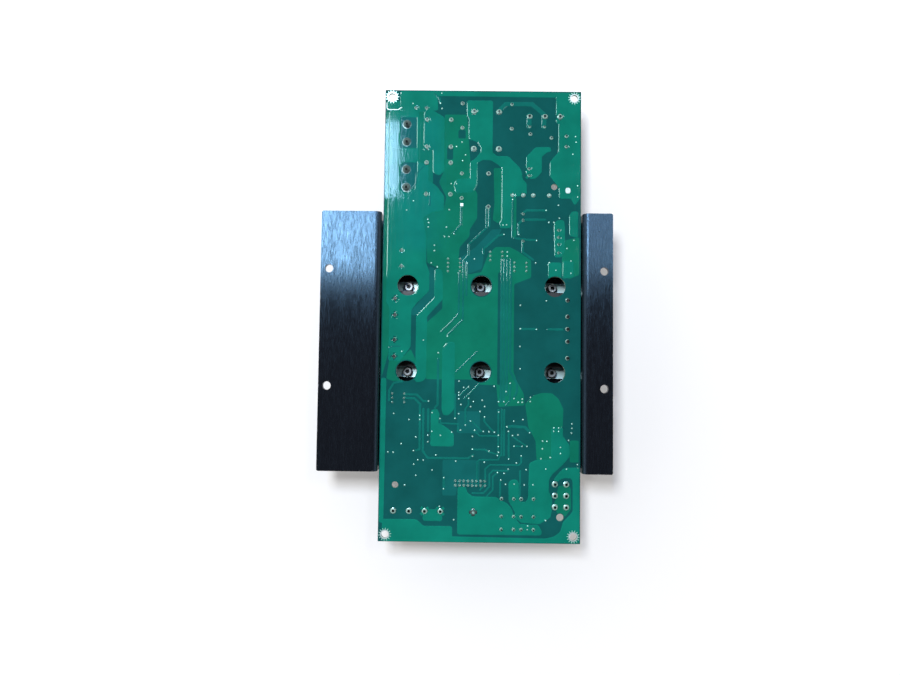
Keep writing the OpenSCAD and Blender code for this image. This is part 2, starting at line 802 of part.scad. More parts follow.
// A pan head with crossed slots
module terminal_screws(poles) {
    seat = block_floor + plate_sheet_t;
    r = terminal_screw_d / 2;
    head_r = terminal_head_d / 2;
    slot_w = 0.9;
    slot_depth = 1;
    for (p = pole_points(poles))
        translate([p.x, terminal_screw_y, 0])
            difference() {
                rotate_extrude()
                    polygon([
                        [0, terminal_screw_end], [r, terminal_screw_end], [r, seat], [head_r, seat],
                        [head_r, seat + terminal_head_h * 0.6], [head_r * 0.75, seat + terminal_head_h],
                        [0, seat + terminal_head_h]
                    ]);
                for (a = [0, 90])
                    rotate(a)
                        translate([-slot_w / 2, -head_r * 0.7, seat + terminal_head_h - slot_depth])
                            cube([slot_w, head_r * 1.4, terminal_head_h]);
            }
}

module input_terminal_block()
    color([0.1, 0.1, 0.11])
        under_board(input_block_place)
            terminal_block(input_poles);

module input_terminal_plates()
    color([0.8, 0.8, 0.78])
        under_board(input_block_place)
            terminal_plates(input_poles);

module input_terminal_screws()
    color([0.75, 0.76, 0.78])
        under_board(input_block_place)
            terminal_screws(input_poles);

module output_terminal_block()
    color([0.1, 0.1, 0.11])
        under_board(output_block_place, 180)
            terminal_block(output_poles);

module output_terminal_plates()
    color([0.8, 0.8, 0.78])
        under_board(output_block_place, 180)
            terminal_plates(output_poles);

module output_terminal_screws()
    color([0.75, 0.76, 0.78])
        under_board(output_block_place, 180)
            terminal_screws(output_poles);

// A can with a crimped foot, a rolled top edge and a scored vent
module bulk_capacitor(at) {
    r = bulk_d / 2;
    foot_r = r - 2.2;
    groove_z = 3;
    groove = 0.7;
    edge = 1;
    rim = 2.4;
    recess = 0.4;
    score_w = 0.8;
    color([0.1, 0.12, 0.2])
        under_board(at) {
            difference() {
                rotate_extrude()
                    polygon([
                        [0, edge], [foot_r, edge], [foot_r, 0], [r - groove, 0], [r, groove],
                        [r, groove_z - groove], [r - groove, groove_z], [r, groove_z + groove],
                        [r, bulk_h - edge], [r - edge * 0.3, bulk_h - edge * 0.3], [r - edge, bulk_h],
                        [r - rim, bulk_h], [r - rim, bulk_h - recess], [0, bulk_h - recess]
                    ]);
                for (a = [0, 90])
                    rotate(a + 45)
                        translate([-score_w / 2, -r * 0.6, bulk_h - 2 * recess])
                            cube([score_w, r * 1.2, recess * 2]);
            }
            leads(bulk_points, bulk_lead[0], 2 * edge);
        }
}

module bulk_capacitor_1()
    bulk_capacitor(bulk_places[0]);

module bulk_capacitor_2()
    bulk_capacitor(bulk_places[1]);

// A moulded box on four feet, with its potting set back
module film_box(size, points, lead_d) {
    foot = 0.5;
    wall = 0.9;
    sink = 0.5;
    difference() {
        translate([0, 0, foot])
            linear_extrude(size.z - foot)
                rounded([size.x, size.y], 0.6);
        linear_extrude(foot + sink)
            square([size.x - 2 * wall, size.y - 2 * wall], center = true);
    }
    for (x = [-1, 1], y = [-1, 1])
        translate([x * (size.x / 2 - 2 * wall), y * (size.y / 2 - wall), foot])
            cube([wall, wall, 2 * foot], center = true);
    leads(points, lead_d, foot + 3 * sink);
}

module film_capacitor(at)
    color([0.75, 0.7, 0.3])
        under_board(at)
            film_box([film_w, film_l, film_h], film_points, film_lead[0]);

module film_capacitor_1()
    film_capacitor(film_places[0]);

module film_capacitor_2()
    film_capacitor(film_places[1]);

module film_capacitor_3()
    film_capacitor(film_places[2]);

module converter_capacitor()
    color([0.15, 0.3, 0.55])
        under_board(from_module(side_film_place))
            film_box(side_film_size, side_film_points, film_lead[0]);

module snubber_capacitor()
    color([0.55, 0.15, 0.12])
        under_board(from_module(snubber_place))
            film_box(snubber_size, snubber_points, disc_lead[0]);

module output_capacitors()
    color([0.15, 0.3, 0.55])
        for (at = output_film_places)
            under_board(at)
                film_box(output_film_size, output_film_points, disc_lead[0]);

// A dipped disc on two straight leads
module disc_part(d, t, points, lead_d) {
    rise = 1.6;
    half = abs(points[0].x);
    reach = rise + d / 2 - sqrt(pow(d / 2, 2) - pow(half, 2)) + lead_d;
    translate([0, 0, rise + d / 2])
        rotate([90, 0, 0])
            rotate_extrude() {
                translate([0, -t / 2])
                    square([d / 2 - t / 2, t]);
                translate([d / 2 - t / 2, 0])
                    intersection() {
                        circle(t / 2);
                        translate([0, -t / 2])
                            square(t);
                    }
            }
    leads(points, lead_d, reach);
}

module safety_capacitor_1()
    color([0.2, 0.4, 0.7])
        under_board(from_input(safety_1_place), 90)
            disc_part(safety_d, safety_t, safety_points, disc_lead[0]);

module safety_capacitor_2()
    color([0.2, 0.4, 0.7])
        under_board(from_input(safety_2_place))
            disc_part(safety_d, safety_t, safety_points, disc_lead[0]);

module varistor()
    color([0.12, 0.3, 0.6])
        under_board(varistor_place)
            disc_part(varistor_d, varistor_t, varistor_points, disc_lead[0]);

module inrush_thermistor()
    color([0.12, 0.22, 0.14])
        under_board(thermistor_place, thermistor_turn)
            disc_part(thermistor_d, thermistor_t, thermistor_points, disc_lead[0]);

// Input chokes: two coils on a bobbin, on the round legs of a closed core
choke_axis = choke_h / 2;
choke_plate_t = 2;
choke_sleeve_t = 0.6;
choke_sleeve_r = choke_leg_d / 2 + fit + choke_sleeve_t;

module along_y(h)
    rotate([90, 0, 0])
        linear_extrude(h, center = true)
            children();

module choke_core(rows) {
    reach = rows / 2 + choke_plate_t / 2 + fit;
    yoke_w = choke_leg_pitch + choke_leg_d;
    for (x = [-1, 1])
        translate([x * choke_leg_pitch / 2, 0, choke_axis])
            along_y(2 * reach)
                circle(d = choke_leg_d);
    for (y = [-1, 1])
        translate([0, y * (reach + choke_yoke_t / 2), choke_axis])
            along_y(choke_yoke_t)
                rounded([yoke_w, choke_leg_d * 1.6], choke_leg_d / 2);
}

module choke_bobbin(rows, points) {
    difference() {
        union() {
            for (y = [-1, 1])
                translate([0, y * rows / 2, choke_h / 2])
                    along_y(choke_plate_t)
                        rounded([choke_w, choke_h], 1);
            for (x = [-1, 1])
                translate([x * choke_leg_pitch / 2, 0, choke_axis])
                    along_y(rows)
                        circle(choke_sleeve_r);
        }
        for (x = [-1, 1])
            translate([x * choke_leg_pitch / 2, 0, choke_axis])
                along_y(2 * rows)
                    circle(d = choke_leg_d + 2 * fit);
    }
    leads(points, choke_lead[0], choke_plate_t);
}

module choke_winding(rows) {
    room = rows - choke_plate_t - 2 * fit;
    turns = floor(room / choke_wire_d);
    wire_r = choke_wire_d / 2;
    coil_r = choke_sleeve_r + fit + wire_r;
    for (x = [-1, 1])
        translate([x * choke_leg_pitch / 2, 0, choke_axis])
            rotate([90, 0, 0])
                rotate_extrude() {
                    translate([coil_r - wire_r, -turns * wire_r])
                        square([wire_r, turns * choke_wire_d]);
                    for (i = [1:turns])
                        translate([coil_r, (i - (turns + 1) / 2) * choke_wire_d])
                            circle(wire_r, $fn = 16);
                }
}

module input_choke_1_core()
    color([0.2, 0.2, 0.21])
        under_board(choke_places[0])
            choke_core(choke_1_rows);

module input_choke_1_bobbin()
    color([0.85, 0.84, 0.78])
        under_board(choke_places[0])
            choke_bobbin(choke_1_rows, choke_1_points);

module input_choke_1_winding()
    color([0.7, 0.38, 0.15])
        under_board(choke_places[0])
            choke_winding(choke_1_rows);

module input_choke_2_core()
    color([0.2, 0.2, 0.21])
        under_board(choke_places[1])
            choke_core(choke_2_rows);

module input_choke_2_bobbin()
    color([0.85, 0.84, 0.78])
        under_board(choke_places[1])
            choke_bobbin(choke_2_rows, choke_2_points);

module input_choke_2_winding()
    color([0.7, 0.38, 0.15])
        under_board(choke_places[1])
            choke_winding(choke_2_rows);

// Line choke: a ring core wound in two halves, lying on a base with four pins
toroid_z = toroid_base.z + toroid_wire_d;

module line_choke_core() {
    edge = 0.8;
    mid_r = (toroid_d + toroid_bore) / 4;
    width = (toroid_d - toroid_bore) / 2;
    color([0.12, 0.3, 0.2])
        under_board(line_place)
            translate([0, 0, toroid_z + toroid_h / 2])
                rotate_extrude()
                    translate([mid_r, 0])
                        rounded([width, toroid_h], edge);
}

module line_choke_base()
    color([0.1, 0.1, 0.11])
        under_board(line_place) {
            linear_extrude(toroid_base.z)
                rounded([toroid_base.x, toroid_base.y], 2);
            leads(line_points, line_lead[0], toroid_base.z);
        }

module line_choke_winding() {
    slack = 0.06;
    inner = toroid_bore / 2 - slack;
    outer = toroid_d / 2 + slack;
    tall = toroid_h + 2 * slack;
    window = [outer - inner, tall];
    step = 1.06 * toroid_wire_d / (inner - toroid_wire_d) * 180 / PI;
    color([0.72, 0.4, 0.16])
        under_board(line_place)
            for (half = [0, 180], i = [1:toroid_turns])
                rotate(half + (i - (toroid_turns + 1) / 2) * step)
                    translate([(inner + outer) / 2, 0, toroid_z + toroid_h / 2])
                        along_y(toroid_wire_d)
                            difference() {
                                rounded(window + [2, 2] * (toroid_wire_d - slack), toroid_wire_d);
                                rounded(window, 0.4);
                            }
}

// Fuse: a glass tube with end caps, held in two spring clips
fuse_cap_d = fuse_glass_d + 2 * (fit + fuse_cap_t);
fuse_axis = fuse_cap_d / 2 + clip_t + 1.8;
clip_y = fuse_l / 2 - fuse_cap_l / 2;

module fuse_clips() {
    ring_r = fuse_cap_d / 2 + fit + clip_t;
    foot_w = 3;
    color([0.8, 0.8, 0.78])
        under_board(fuse_place)
            for (y = [-1, 1]) {
                translate([0, y * clip_y, fuse_axis])
                    along_y(clip_w)
                        difference() {
                            circle(ring_r);
                            circle(ring_r - clip_t);
                            polygon([[0, 0], [-2 * ring_r, 2 * ring_r], [2 * ring_r, 2 * ring_r]]);
                        }
                translate([0, y * (clip_y - clip_w / 2 + clip_pitch / 2 + clip_t) / 2, fuse_axis - ring_r])
                    cube([foot_w, clip_pitch / 2 + clip_t - clip_y + clip_w / 2, 2 * clip_t], center = true);
                leads([[0, y * clip_pitch / 2]], clip_lead[0], fuse_axis - ring_r);
            }
}

module fuse_caps()
    color([0.8, 0.8, 0.78])
        under_board(fuse_place)
            for (y = [-1, 1])
                translate([0, y * fuse_l / 2, fuse_axis])
                    rotate([y * 90, 0, 0])
                        difference() {
                            cylinder(d = fuse_cap_d, h = fuse_cap_l);
                            translate([0, 0, 2 * fuse_cap_t])
                                cylinder(d = fuse_glass_d + 2 * fit, h = fuse_cap_l);
                        }

module fuse_tube()
    color([0.8, 0.9, 0.92])
        under_board(fuse_place)
            translate([0, 0, fuse_axis])
                along_y(fuse_l - 4 * fuse_cap_t)
                    difference() {
                        circle(d = fuse_glass_d);
                        circle(d = fuse_glass_d - 2 * fuse_glass_wall);
                    }

module fuse_wire()
    color([0.8, 0.8, 0.78])
        under_board(fuse_place)
            translate([0, 0, fuse_axis])
                along_y(fuse_l - 4 * fuse_cap_t)
                    circle(d = 0.4);

// Bridge rectifier: a flat moulded body on four leads in line
module bridge_rectifier() {
    rise = 2.5;
    corner = 3;
    half = bridge_size.x / 2;
    top = rise + bridge_size.z;
    color([0.1, 0.1, 0.11])
        under_board(bridge_place) {
            along_y(bridge_size.y)
                polygon([
                    [-half, rise], [half, rise], [half, top], [corner - half, top], [-half, top - corner]
                ]);
            leads(bridge_points, bridge_lead[0], rise + corner);
        }
}

// Bias transformer: a closed core with three legs, round a bobbin on two rows of pins
trafo_flange_t = 0.9;
trafo_flange_x = trafo_core.x / 2 - trafo_leg_t - fit;
trafo_tube_t = 0.7;
trafo_window_y = trafo_core.y / 2 - trafo_leg_t;

module along_x(h)
    rotate([90, 0, 90])
        linear_extrude(h, center = true)
            children();

module bias_transformer_core() {
    window_w = trafo_window_y - trafo_middle_w / 2;
    color([0.2, 0.2, 0.21])
        under_board(trafo_place)
            translate([0, 0, trafo_axis_h - trafo_core.z / 2])
                linear_extrude(trafo_core.z)
                    difference() {
                        square([trafo_core.x, trafo_core.y], center = true);
                        for (y = [-1, 1])
                            translate([0, y * (trafo_middle_w + window_w) / 2])
                                square([trafo_core.x - 2 * trafo_leg_t, window_w], center = true);
                    }
}

module bias_transformer_bobbin() {
    leg = [trafo_middle_w, trafo_core.z] + [2, 2] * fit;
    tube = leg + [2, 2] * trafo_tube_t;
    rail_end = trafo_rows / 2 + 1.4;
    rail_l = 2 * (max(concat(trafo_left_pins, trafo_right_pins)) + 1.3);
    rail_h = trafo_axis_h - trafo_core.z / 2 - 4 * fit;
    color([0.12, 0.12, 0.13])
        under_board(trafo_place) {
            difference() {
                union() {
                    translate([0, 0, trafo_axis_h])
                        along_x(2 * trafo_flange_x)
                            square(tube, center = true);
                    for (x = [-1, 1]) {
                        translate([x * (trafo_flange_x - trafo_flange_t / 2), 0, trafo_h / 2])
                            along_x(trafo_flange_t)
                                square([2 * (trafo_window_y - fit), trafo_h], center = true);
                        translate([x * (trafo_flange_x - trafo_flange_t + rail_end) / 2, 0, rail_h / 2])
                            cube([rail_end - trafo_flange_x + trafo_flange_t, rail_l, rail_h], center = true);
                    }
                }
                translate([0, 0, trafo_axis_h])
                    along_x(4 * trafo_flange_x)
                        square(leg, center = true);
            }
            leads(trafo_points, trafo_lead[0], rail_h / 2);
        }
}

module bias_transformer_winding() {
    tube = [trafo_middle_w, trafo_core.z] + [2, 2] * (2 * fit + trafo_tube_t);
    coil = [2 * (trafo_window_y - 1), 2 * (trafo_h - trafo_axis_h - 0.4)];
    color([0.85, 0.72, 0.2])
        under_board(trafo_place)
            translate([0, 0, trafo_axis_h])
                along_x(2 * (trafo_flange_x - trafo_flange_t - fit))
                    difference() {
                        rounded(coil, 2);
                        square(tube, center = true);
                    }
}

// Dual in-line chips: a drafted body with bent leads
module dip(pins) {
    body_l = pins * pin_pitch + 0.7;
    low = 0.6;
    mid = 2.3;
    high = 4;
    waist = dip_rows / 2 - 0.5;
    face = waist - 0.25;
    sheet = 0.25;
    narrow = 0.5;
    wide = 1.3;
    notch_r = 0.8;
    difference() {
        along_y(body_l)
            polygon([[-face, low], [face, low], [waist, mid], [face, high], [-face, high], [-waist, mid]]);
        translate([0, body_l / 2, mid])
            cylinder(r = notch_r, h = high);
    }
    for (p = dip_points(pins)) {
        side = sign(p.x);
        translate([side * (waist + dip_rows / 2) / 2, p.y, mid])
            cube([dip_rows / 2 - waist + sheet, wide, sheet], center = true);
        translate([p.x, p.y, mid / 2 + low / 2])
            cube([sheet, wide, mid - low + sheet], center = true);
        translate([p.x - sheet / 2, p.y - narrow / 2, -board_t - lead_out])
            cube([sheet, narrow, board_t + lead_out + mid]);
    }
}

module optocoupler(place)
    color([0.9, 0.9, 0.87])
        under_board(from_module(place))
            dip(opto_pins);

module optocoupler_1()
    optocoupler(opto_places[0]);

module optocoupler_2()
    optocoupler(opto_places[1]);

module optocoupler_3()
    optocoupler(opto_places[2]);

module driver_chip()
    color([0.1, 0.1, 0.11])
        under_board(from_module(driver_place))
            dip(driver_pins);

// Signal header: a keyed shroud round two rows of square posts
header_floor = 2.6;
header_end = 3.8;
header_side = 1.85;
post = 0.64;

module signal_header_shroud() {
    size = [header_columns * pin_pitch + 2 * header_end, 2 * (pin_pitch + header_side)];
    key_w = 4.5;
    color([0.1, 0.1, 0.11])
        under_board(header_place)
            difference() {
                linear_extrude(header_h)
                    rounded(size, 0.5);
                translate([0, 0, header_floor])
                    linear_extrude(header_h)
                        square(size - [2, 2] * header_wall, center = true);
                translate([-key_w / 2, 0, header_floor * 2])
                    cube([key_w, size.y, header_h]);
                for (p = header_points)
                    translate([p.x, p.y, 0])
                        cube([post + fit, post + fit, 4 * header_floor], center = true);
            }
}

module signal_header_pins()
    color([0.85, 0.7, 0.3])
        under_board(header_place)
            for (p = header_points)
                translate([p.x - post / 2, p.y - post / 2, -board_t - lead_out])
                    cube([post, post, board_t + lead_out + header_h - 1]);

// Power connector: an open housing round six round pins
power_floor = 4;
power_room = [2 * 3.7 + power_pitch, 2 * 2.34 + 2 * power_pitch];

module power_connector_housing() {
    latch_w = 5;
    color([0.88, 0.87, 0.82])
        under_board(power_place)
            difference() {
                union() {
                    linear_extrude(power_h)
                        rounded(power_room + [2, 2] * power_wall, 1);
                    translate([power_room.x / 2 + power_wall, 0, 0])
                        along_y(latch_w)
                            polygon([[-power_wall / 2, power_floor], [1.2, power_h / 2], [-power_wall / 2, power_h]]);
                }
                translate([0, 0, power_floor])
                    linear_extrude(power_h)
                        rounded(power_room, 0.5);
                for (p = power_points)
                    translate([p.x, p.y, -power_floor])
                        cylinder(d = power_lead[0] + 2 * fit, h = 3 * power_floor);
            }
}

module power_connector_pins() {
    r = power_pin_d / 2;
    tip = power_h - 3;
    color([0.8, 0.8, 0.78])
        under_board(power_place) {
            leads(power_points, power_lead[0], power_floor);
            for (p = power_points)
                translate([p.x, p.y, power_floor])
                    rotate_extrude()
                        polygon([
                            [0, 0], [r, 0], [r, tip - power_floor - 2 * r], [r / 2, tip - power_floor],
                            [0, tip - power_floor]
                        ]);
        }
}

// Turret post: a turned post with a groove for a wire
module turret_post() {
    r = turret_d / 2;
    neck = r * 0.55;
    color([0.8, 0.7, 0.4])
        under_board(from_output(turret_place)) {
            rotate_extrude()
                polygon([
                    [0, 0], [r, 0], [r, 1.2], [neck, 1.6], [neck, turret_h * 0.6], [r * 0.8, turret_h * 0.7],
                    [r * 0.8, turret_h - 0.4], [r * 0.6, turret_h], [0, turret_h]
                ]);
            leads([[0, 0]], turret_lead[0], 1);
        }
}

// Surface-mount control circuit: chips with gull-wing leads, and rows of chip parts beside them
so_pins = 8;
so_pitch = 1.27;
so_body = [so_pins * so_pitch, 4, 1.5];
chip_row_gap = 6.5;
chip_pitch = 2.6;
chip_columns = [-2.5:2.5];

module so_chip() {
    lift = 0.15;
    foot = [0.45, 1.1, 0.2];
    knee = 1;
    translate([0, 0, lift + so_body.z / 2])
        cube(so_body, center = true);
    for (i = [1:so_pins], y = [-1, 1])
        translate([(i - (so_pins + 1) / 2) * so_pitch, 0, 0]) {
            translate([0, y * (so_body.y / 2 + knee), foot.z / 2])
                cube(foot, center = true);
            translate([0, y * (so_body.y / 2 + foot.x), so_body.z / 2])
                cube([foot.x, foot.z, so_body.z], center = true);
            translate([0, y * so_body.y / 2, so_body.z - foot.z / 2])
                cube([foot.x, 2 * foot.x + foot.z, foot.z], center = true);
        }
}

module control_chips()
    color([0.1, 0.1, 0.11])
        for (place = chip_places)
            under_board(from_module(place))
                so_chip();

module chip_row(side, size)
    for (place = chip_places)
        under_board(from_module(place))
            for (i = chip_columns)
                translate([i * chip_pitch - size.x / 2, side * chip_row_gap - size.y / 2, 0])
                    cube(size);

module chip_resistors()
    color([0.12, 0.12, 0.13])
        chip_row(1, [1.6, 3.2, 0.6]);

module chip_capacitors()
    color([0.7, 0.58, 0.4])
        chip_row(-1, [1.6, 3.2, 1.2]);

heat_sink();
circuit_board();
solder_joints();
thermal_pad();
converter_baseplate();
converter_case();
converter_input_pins();
converter_output_pins();
converter_screws();
converter_washers();
input_terminal_block();
input_terminal_plates();
input_terminal_screws();
output_terminal_block();
output_terminal_plates();
output_terminal_screws();
bulk_capacitor_1();
bulk_capacitor_2();
film_capacitor_1();
film_capacitor_2();
film_capacitor_3();
converter_capacitor();
snubber_capacitor();
safety_capacitor_1();
safety_capacitor_2();
input_choke_1_core();
input_choke_1_bobbin();
input_choke_1_winding();
input_choke_2_core();
input_choke_2_bobbin();
input_choke_2_winding();
line_choke_core();
line_choke_base();
line_choke_winding();
fuse_clips();
fuse_caps();
fuse_tube();
fuse_wire();
varistor();
inrush_thermistor();
bridge_rectifier();
bias_transformer_core();
bias_transformer_bobbin();
bias_transformer_winding();
optocoupler_1();
optocoupler_2();
optocoupler_3();
driver_chip();
signal_header_shroud();
signal_header_pins();
power_connector_housing();
power_connector_pins();
output_capacitors();
turret_post();
control_chips();
chip_resistors();
chip_capacitors();
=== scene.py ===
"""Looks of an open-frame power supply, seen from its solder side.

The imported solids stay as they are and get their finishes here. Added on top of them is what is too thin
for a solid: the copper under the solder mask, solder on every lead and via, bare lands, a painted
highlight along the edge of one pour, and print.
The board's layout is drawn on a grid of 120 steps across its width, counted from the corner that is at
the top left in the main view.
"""
import json
import math

import bmesh
import bpy
from mathutils import Matrix, Vector
from mathutils.geometry import delaunay_2d_cdt


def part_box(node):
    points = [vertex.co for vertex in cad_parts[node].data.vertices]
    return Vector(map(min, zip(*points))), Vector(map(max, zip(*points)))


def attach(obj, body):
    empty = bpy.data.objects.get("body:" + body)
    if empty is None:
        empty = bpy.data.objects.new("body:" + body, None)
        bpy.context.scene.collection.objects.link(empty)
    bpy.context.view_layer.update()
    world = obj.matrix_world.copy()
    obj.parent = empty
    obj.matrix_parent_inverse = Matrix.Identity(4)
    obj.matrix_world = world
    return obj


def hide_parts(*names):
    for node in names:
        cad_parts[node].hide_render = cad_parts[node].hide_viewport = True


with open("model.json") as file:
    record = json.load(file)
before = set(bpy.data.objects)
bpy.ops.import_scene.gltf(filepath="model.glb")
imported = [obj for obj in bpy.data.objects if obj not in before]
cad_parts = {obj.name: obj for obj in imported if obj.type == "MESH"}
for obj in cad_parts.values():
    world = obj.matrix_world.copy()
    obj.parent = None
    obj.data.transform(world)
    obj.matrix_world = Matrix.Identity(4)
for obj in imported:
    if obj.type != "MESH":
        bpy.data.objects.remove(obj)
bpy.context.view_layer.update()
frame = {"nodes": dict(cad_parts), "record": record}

MM = 0.001
SEED = 11

# The board, and the grid that its layout is drawn on
board_low, board_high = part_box("circuit_board")
GRID_STEPS = 120
step = (board_high.x - board_low.x) / GRID_STEPS
solder_face = board_high.z
part_face = board_low.z

# Thickness of the layers on the board
FAR_RISE = 0.012 * MM
MESHED_RISE = 0.018 * MM
COPPER_RISE = 0.10 * MM
TRACK_RISE = 0.11 * MM
LAND_RISE = 0.12 * MM
TOOTH_RISE = 0.16 * MM
PRINT_RISE = 0.14 * MM
SHOULDER = 0.5 * MM
TRACK_SHOULDER = 0.3 * MM
DROP = 0.04 * MM
TILT_LEFT = 0.06
TILT_RIGHT = 0.26

palette = {m["slot"]: tuple(m["base_color"]) for m in frame["record"]["materials"]}


# Mesh helpers

def put(name, data):
    """A new object in the scene."""
    made = bpy.data.objects.new(name, data)
    bpy.context.scene.collection.objects.link(made)
    return made


def add_piece(name, mesh, finish, replaced=()):
    """Puts a finished mesh in the scene, on the one body that the part has."""
    mesh.materials.clear()
    mesh.materials.append(finish)
    piece = put(name, mesh)
    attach(piece, "root")
    if replaced:
        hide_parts(*replaced)


def mesh_of(bm, name):
    """A plain mesh from a bmesh, which is then freed."""
    mesh = bpy.data.meshes.new(name)
    bm.to_mesh(mesh)
    bm.free()
    return mesh


def on_board(numbers):
    """Places on the layout grid, listed as x, y, x, y, in millimetres of the part's frame."""
    return [Vector(((board_low.x + gx * step) / MM, (board_high.y - gy * step) / MM))
            for gx, gy in zip(numbers[::2], numbers[1::2])]


def turned_left(points):
    """The outline with its inside on the left."""
    area = sum(a.x * b.y - b.x * a.y for a, b in zip(points, points[1:] + points[:1]))
    return points if area > 0 else points[::-1]


def soft_outline(corners, radius=1.0, steps=3):
    """An outline of grid corners with the corners rounded, in millimetres."""
    points = on_board(corners)
    made = []
    for before, corner, after in zip(points[-1:] + points[:-1], points, points[1:] + points[:1]):
        back = before - corner
        ahead = after - corner
        start = corner + back.normalized() * min(radius, 0.45 * back.length)
        end = corner + ahead.normalized() * min(radius, 0.45 * ahead.length)
        for n in range(steps + 1):
            t = n / steps
            made.append(start.lerp(corner, t).lerp(corner.lerp(end, t), t))
    return turned_left(made)


def disc(centre, radius, sides=20):
    """A round outline in millimetres."""
    turn = math.tau / sides
    return [centre + radius * Vector((math.cos(turn * n), math.sin(turn * n))) for n in range(sides)]


def line(points, width):
    """Outlines of a line of even width: a bar for each run and a disc at each corner."""
    made = [disc(p, width / 2, 10) for p in points]
    for a, b in zip(points, points[1:]):
        side = (b - a).orthogonal().normalized() * width / 2
        made.append(turned_left([a + side, b + side, b - side, a - side]))
    return made


def track(corners, width):
    """Outlines of a track along grid corners."""
    return line(on_board(corners), width)


def shoulder_tilt(x):
    """How steeply the mask runs off the copper's edge: more steeply towards the right of the board."""
    share = (x - board_low.x) / (board_high.x - board_low.x)
    return TILT_LEFT + (TILT_RIGHT - TILT_LEFT) * share


def flat_sheet(name, outlines, gaps, foot, rise, bridges=(), shoulder=0.0):
    """A thin sheet with shouldered edges: the outlines less the gaps, plus the bridges over the gaps.

    A rise below zero makes a sheet on the component side, which faces down.
    """
    groups = [*outlines, *gaps, *bridges]
    first_gap = len(outlines)
    first_bridge = first_gap + len(gaps)
    corners = [p for outline in groups for p in outline]
    faces = []
    for outline in groups:
        start = faces[-1][-1] + 1 if faces else 0
        faces.append(list(range(start, start + len(outline))))
    points, _, triangles, _, _, sources = delaunay_2d_cdt(corners, [], faces, 1, 1e-4, True)
    kept = []
    for triangle, source in zip(triangles, sources):
        bridged = any(s >= first_bridge for s in source)
        poured = any(s < first_gap for s in source)
        cut = any(first_gap <= s < first_bridge for s in source)
        if bridged or (poured and not cut):
            kept.append(triangle)
    rims = {}
    for t in kept:
        for a, b in zip(t, t[1:] + t[:1]):
            rims[(a, b)] = (b, a) not in rims
            if not rims[(a, b)]:
                rims[(b, a)] = False
    rims = [edge for edge, open_side in rims.items() if open_side]
    out = {}
    for a, b in rims:
        along = (points[b] - points[a]).normalized()
        for end in (a, b):
            out[end] = out.get(end, Vector((0, 0))) + Vector((along.y, -along.x))
    bm = bmesh.new()
    top, brow, low = {}, {}, {}
    for corner in {c for t in kept for c in t}:
        top[corner] = bm.verts.new((points[corner].x * MM, points[corner].y * MM, foot + rise))
    for corner, push in out.items():
        start = points[corner] * MM
        way = push.normalized() if push.length > 1e-6 else push
        tilt = shoulder_tilt(start.x)
        run = min(shoulder, 0.9 * abs(rise) / tilt)
        edge = start + way * run
        end = edge + way * DROP
        sunk = math.copysign(run * tilt, rise)
        brow[corner] = bm.verts.new((edge.x, edge.y, foot + rise - sunk)) if run else top[corner]
        low[corner] = bm.verts.new((end.x, end.y, foot))
    for t in kept:
        bm.faces.new([top[c] for c in t])
    for a, b in rims:
        if shoulder:
            bm.faces.new((top[b], top[a], brow[a], brow[b]))
        bm.faces.new((brow[b], brow[a], low[a], low[b]))
    if rise < 0:
        bmesh.ops.reverse_faces(bm, faces=bm.faces[:])
    return mesh_of(bm, name)


def sheet_piece(name, finish, slot, *layers, **options):
    """A thin sheet on the board, put in the scene."""
    add_piece(name, flat_sheet(name, *layers, **options), finish)


# Shader helpers

def shader_node(tree, kind, inputs=None, **settings):
    """A node with its settings and inputs: an input is a socket to link or a value to set."""
    made = tree.nodes.new(kind)
    for key, value in settings.items():
        setattr(made, key, value)
    for key, value in (inputs or {}).items():
        if isinstance(value, bpy.types.NodeSocket):
            tree.links.new(value, made.inputs[key])
        else:
            made.inputs[key].default_value = value
    return made


def new_finish(name, **sockets):
    """A material with one shader, whose even values are set on its own sockets."""
    finish = bpy.data.materials.new(name)
    finish.use_nodes = True
    tree = finish.node_tree
    shader = tree.nodes["Principled BSDF"]
    for key, value in sockets.items():
        shader.inputs[key.replace("_", " ")].default_value = value
    return finish, tree, shader


def feed(tree, shader, **sockets):
    """Links a socket to each of the shader's named inputs."""
    for key, socket in sockets.items():
        tree.links.new(socket, shader.inputs[key.replace("_", " ")])


def math_node(tree, operation, a, b=0.0):
    """One sum on one or two values."""
    return shader_node(tree, "ShaderNodeMath", {0: a, 1: b}, operation=operation).outputs[0]


def times(tree, a, b):
    """One value times another."""
    return math_node(tree, "MULTIPLY", a, b)


def vector_of(tree, x=0.0, y=0.0, z=0.0):
    """A vector of three values."""
    return shader_node(tree, "ShaderNodeCombineXYZ", {0: x, 1: y, 2: z}).outputs[0]


def vector_node(tree, operation, a, b=(0, 0, 0)):
    """The outputs of one sum on one or two vectors."""
    return shader_node(tree, "ShaderNodeVectorMath", {0: a, 1: b}, operation=operation).outputs


def parts(tree, vector):
    """The x, y and z of a vector, as sockets."""
    return shader_node(tree, "ShaderNodeSeparateXYZ", {0: vector}).outputs


def place(tree, stretch=(1, 1, 1), centre=(0, 0, 0)):
    """Object coordinates from a centre, stretched along each axis."""
    at = shader_node(tree, "ShaderNodeTexCoord").outputs["Object"]
    return vector_node(tree, "MULTIPLY", vector_node(tree, "SUBTRACT", at, centre)[0], stretch)[0]


def noise(tree, at, scale, detail=4.0, rough=0.55):
    """Cloudy noise from 0 to 1."""
    values = {"Vector": at, "Scale": scale, "Detail": detail, "Roughness": rough}
    return shader_node(tree, "ShaderNodeTexNoise", values).outputs["Fac"]


def remap(tree, value, low, high, to_low=0.0, to_high=1.0):
    """A value brought from one range to another and held there."""
    values = {"Value": value, "From Min": low, "From Max": high, "To Min": to_low, "To Max": to_high}
    return shader_node(tree, "ShaderNodeMapRange", values).outputs["Result"]


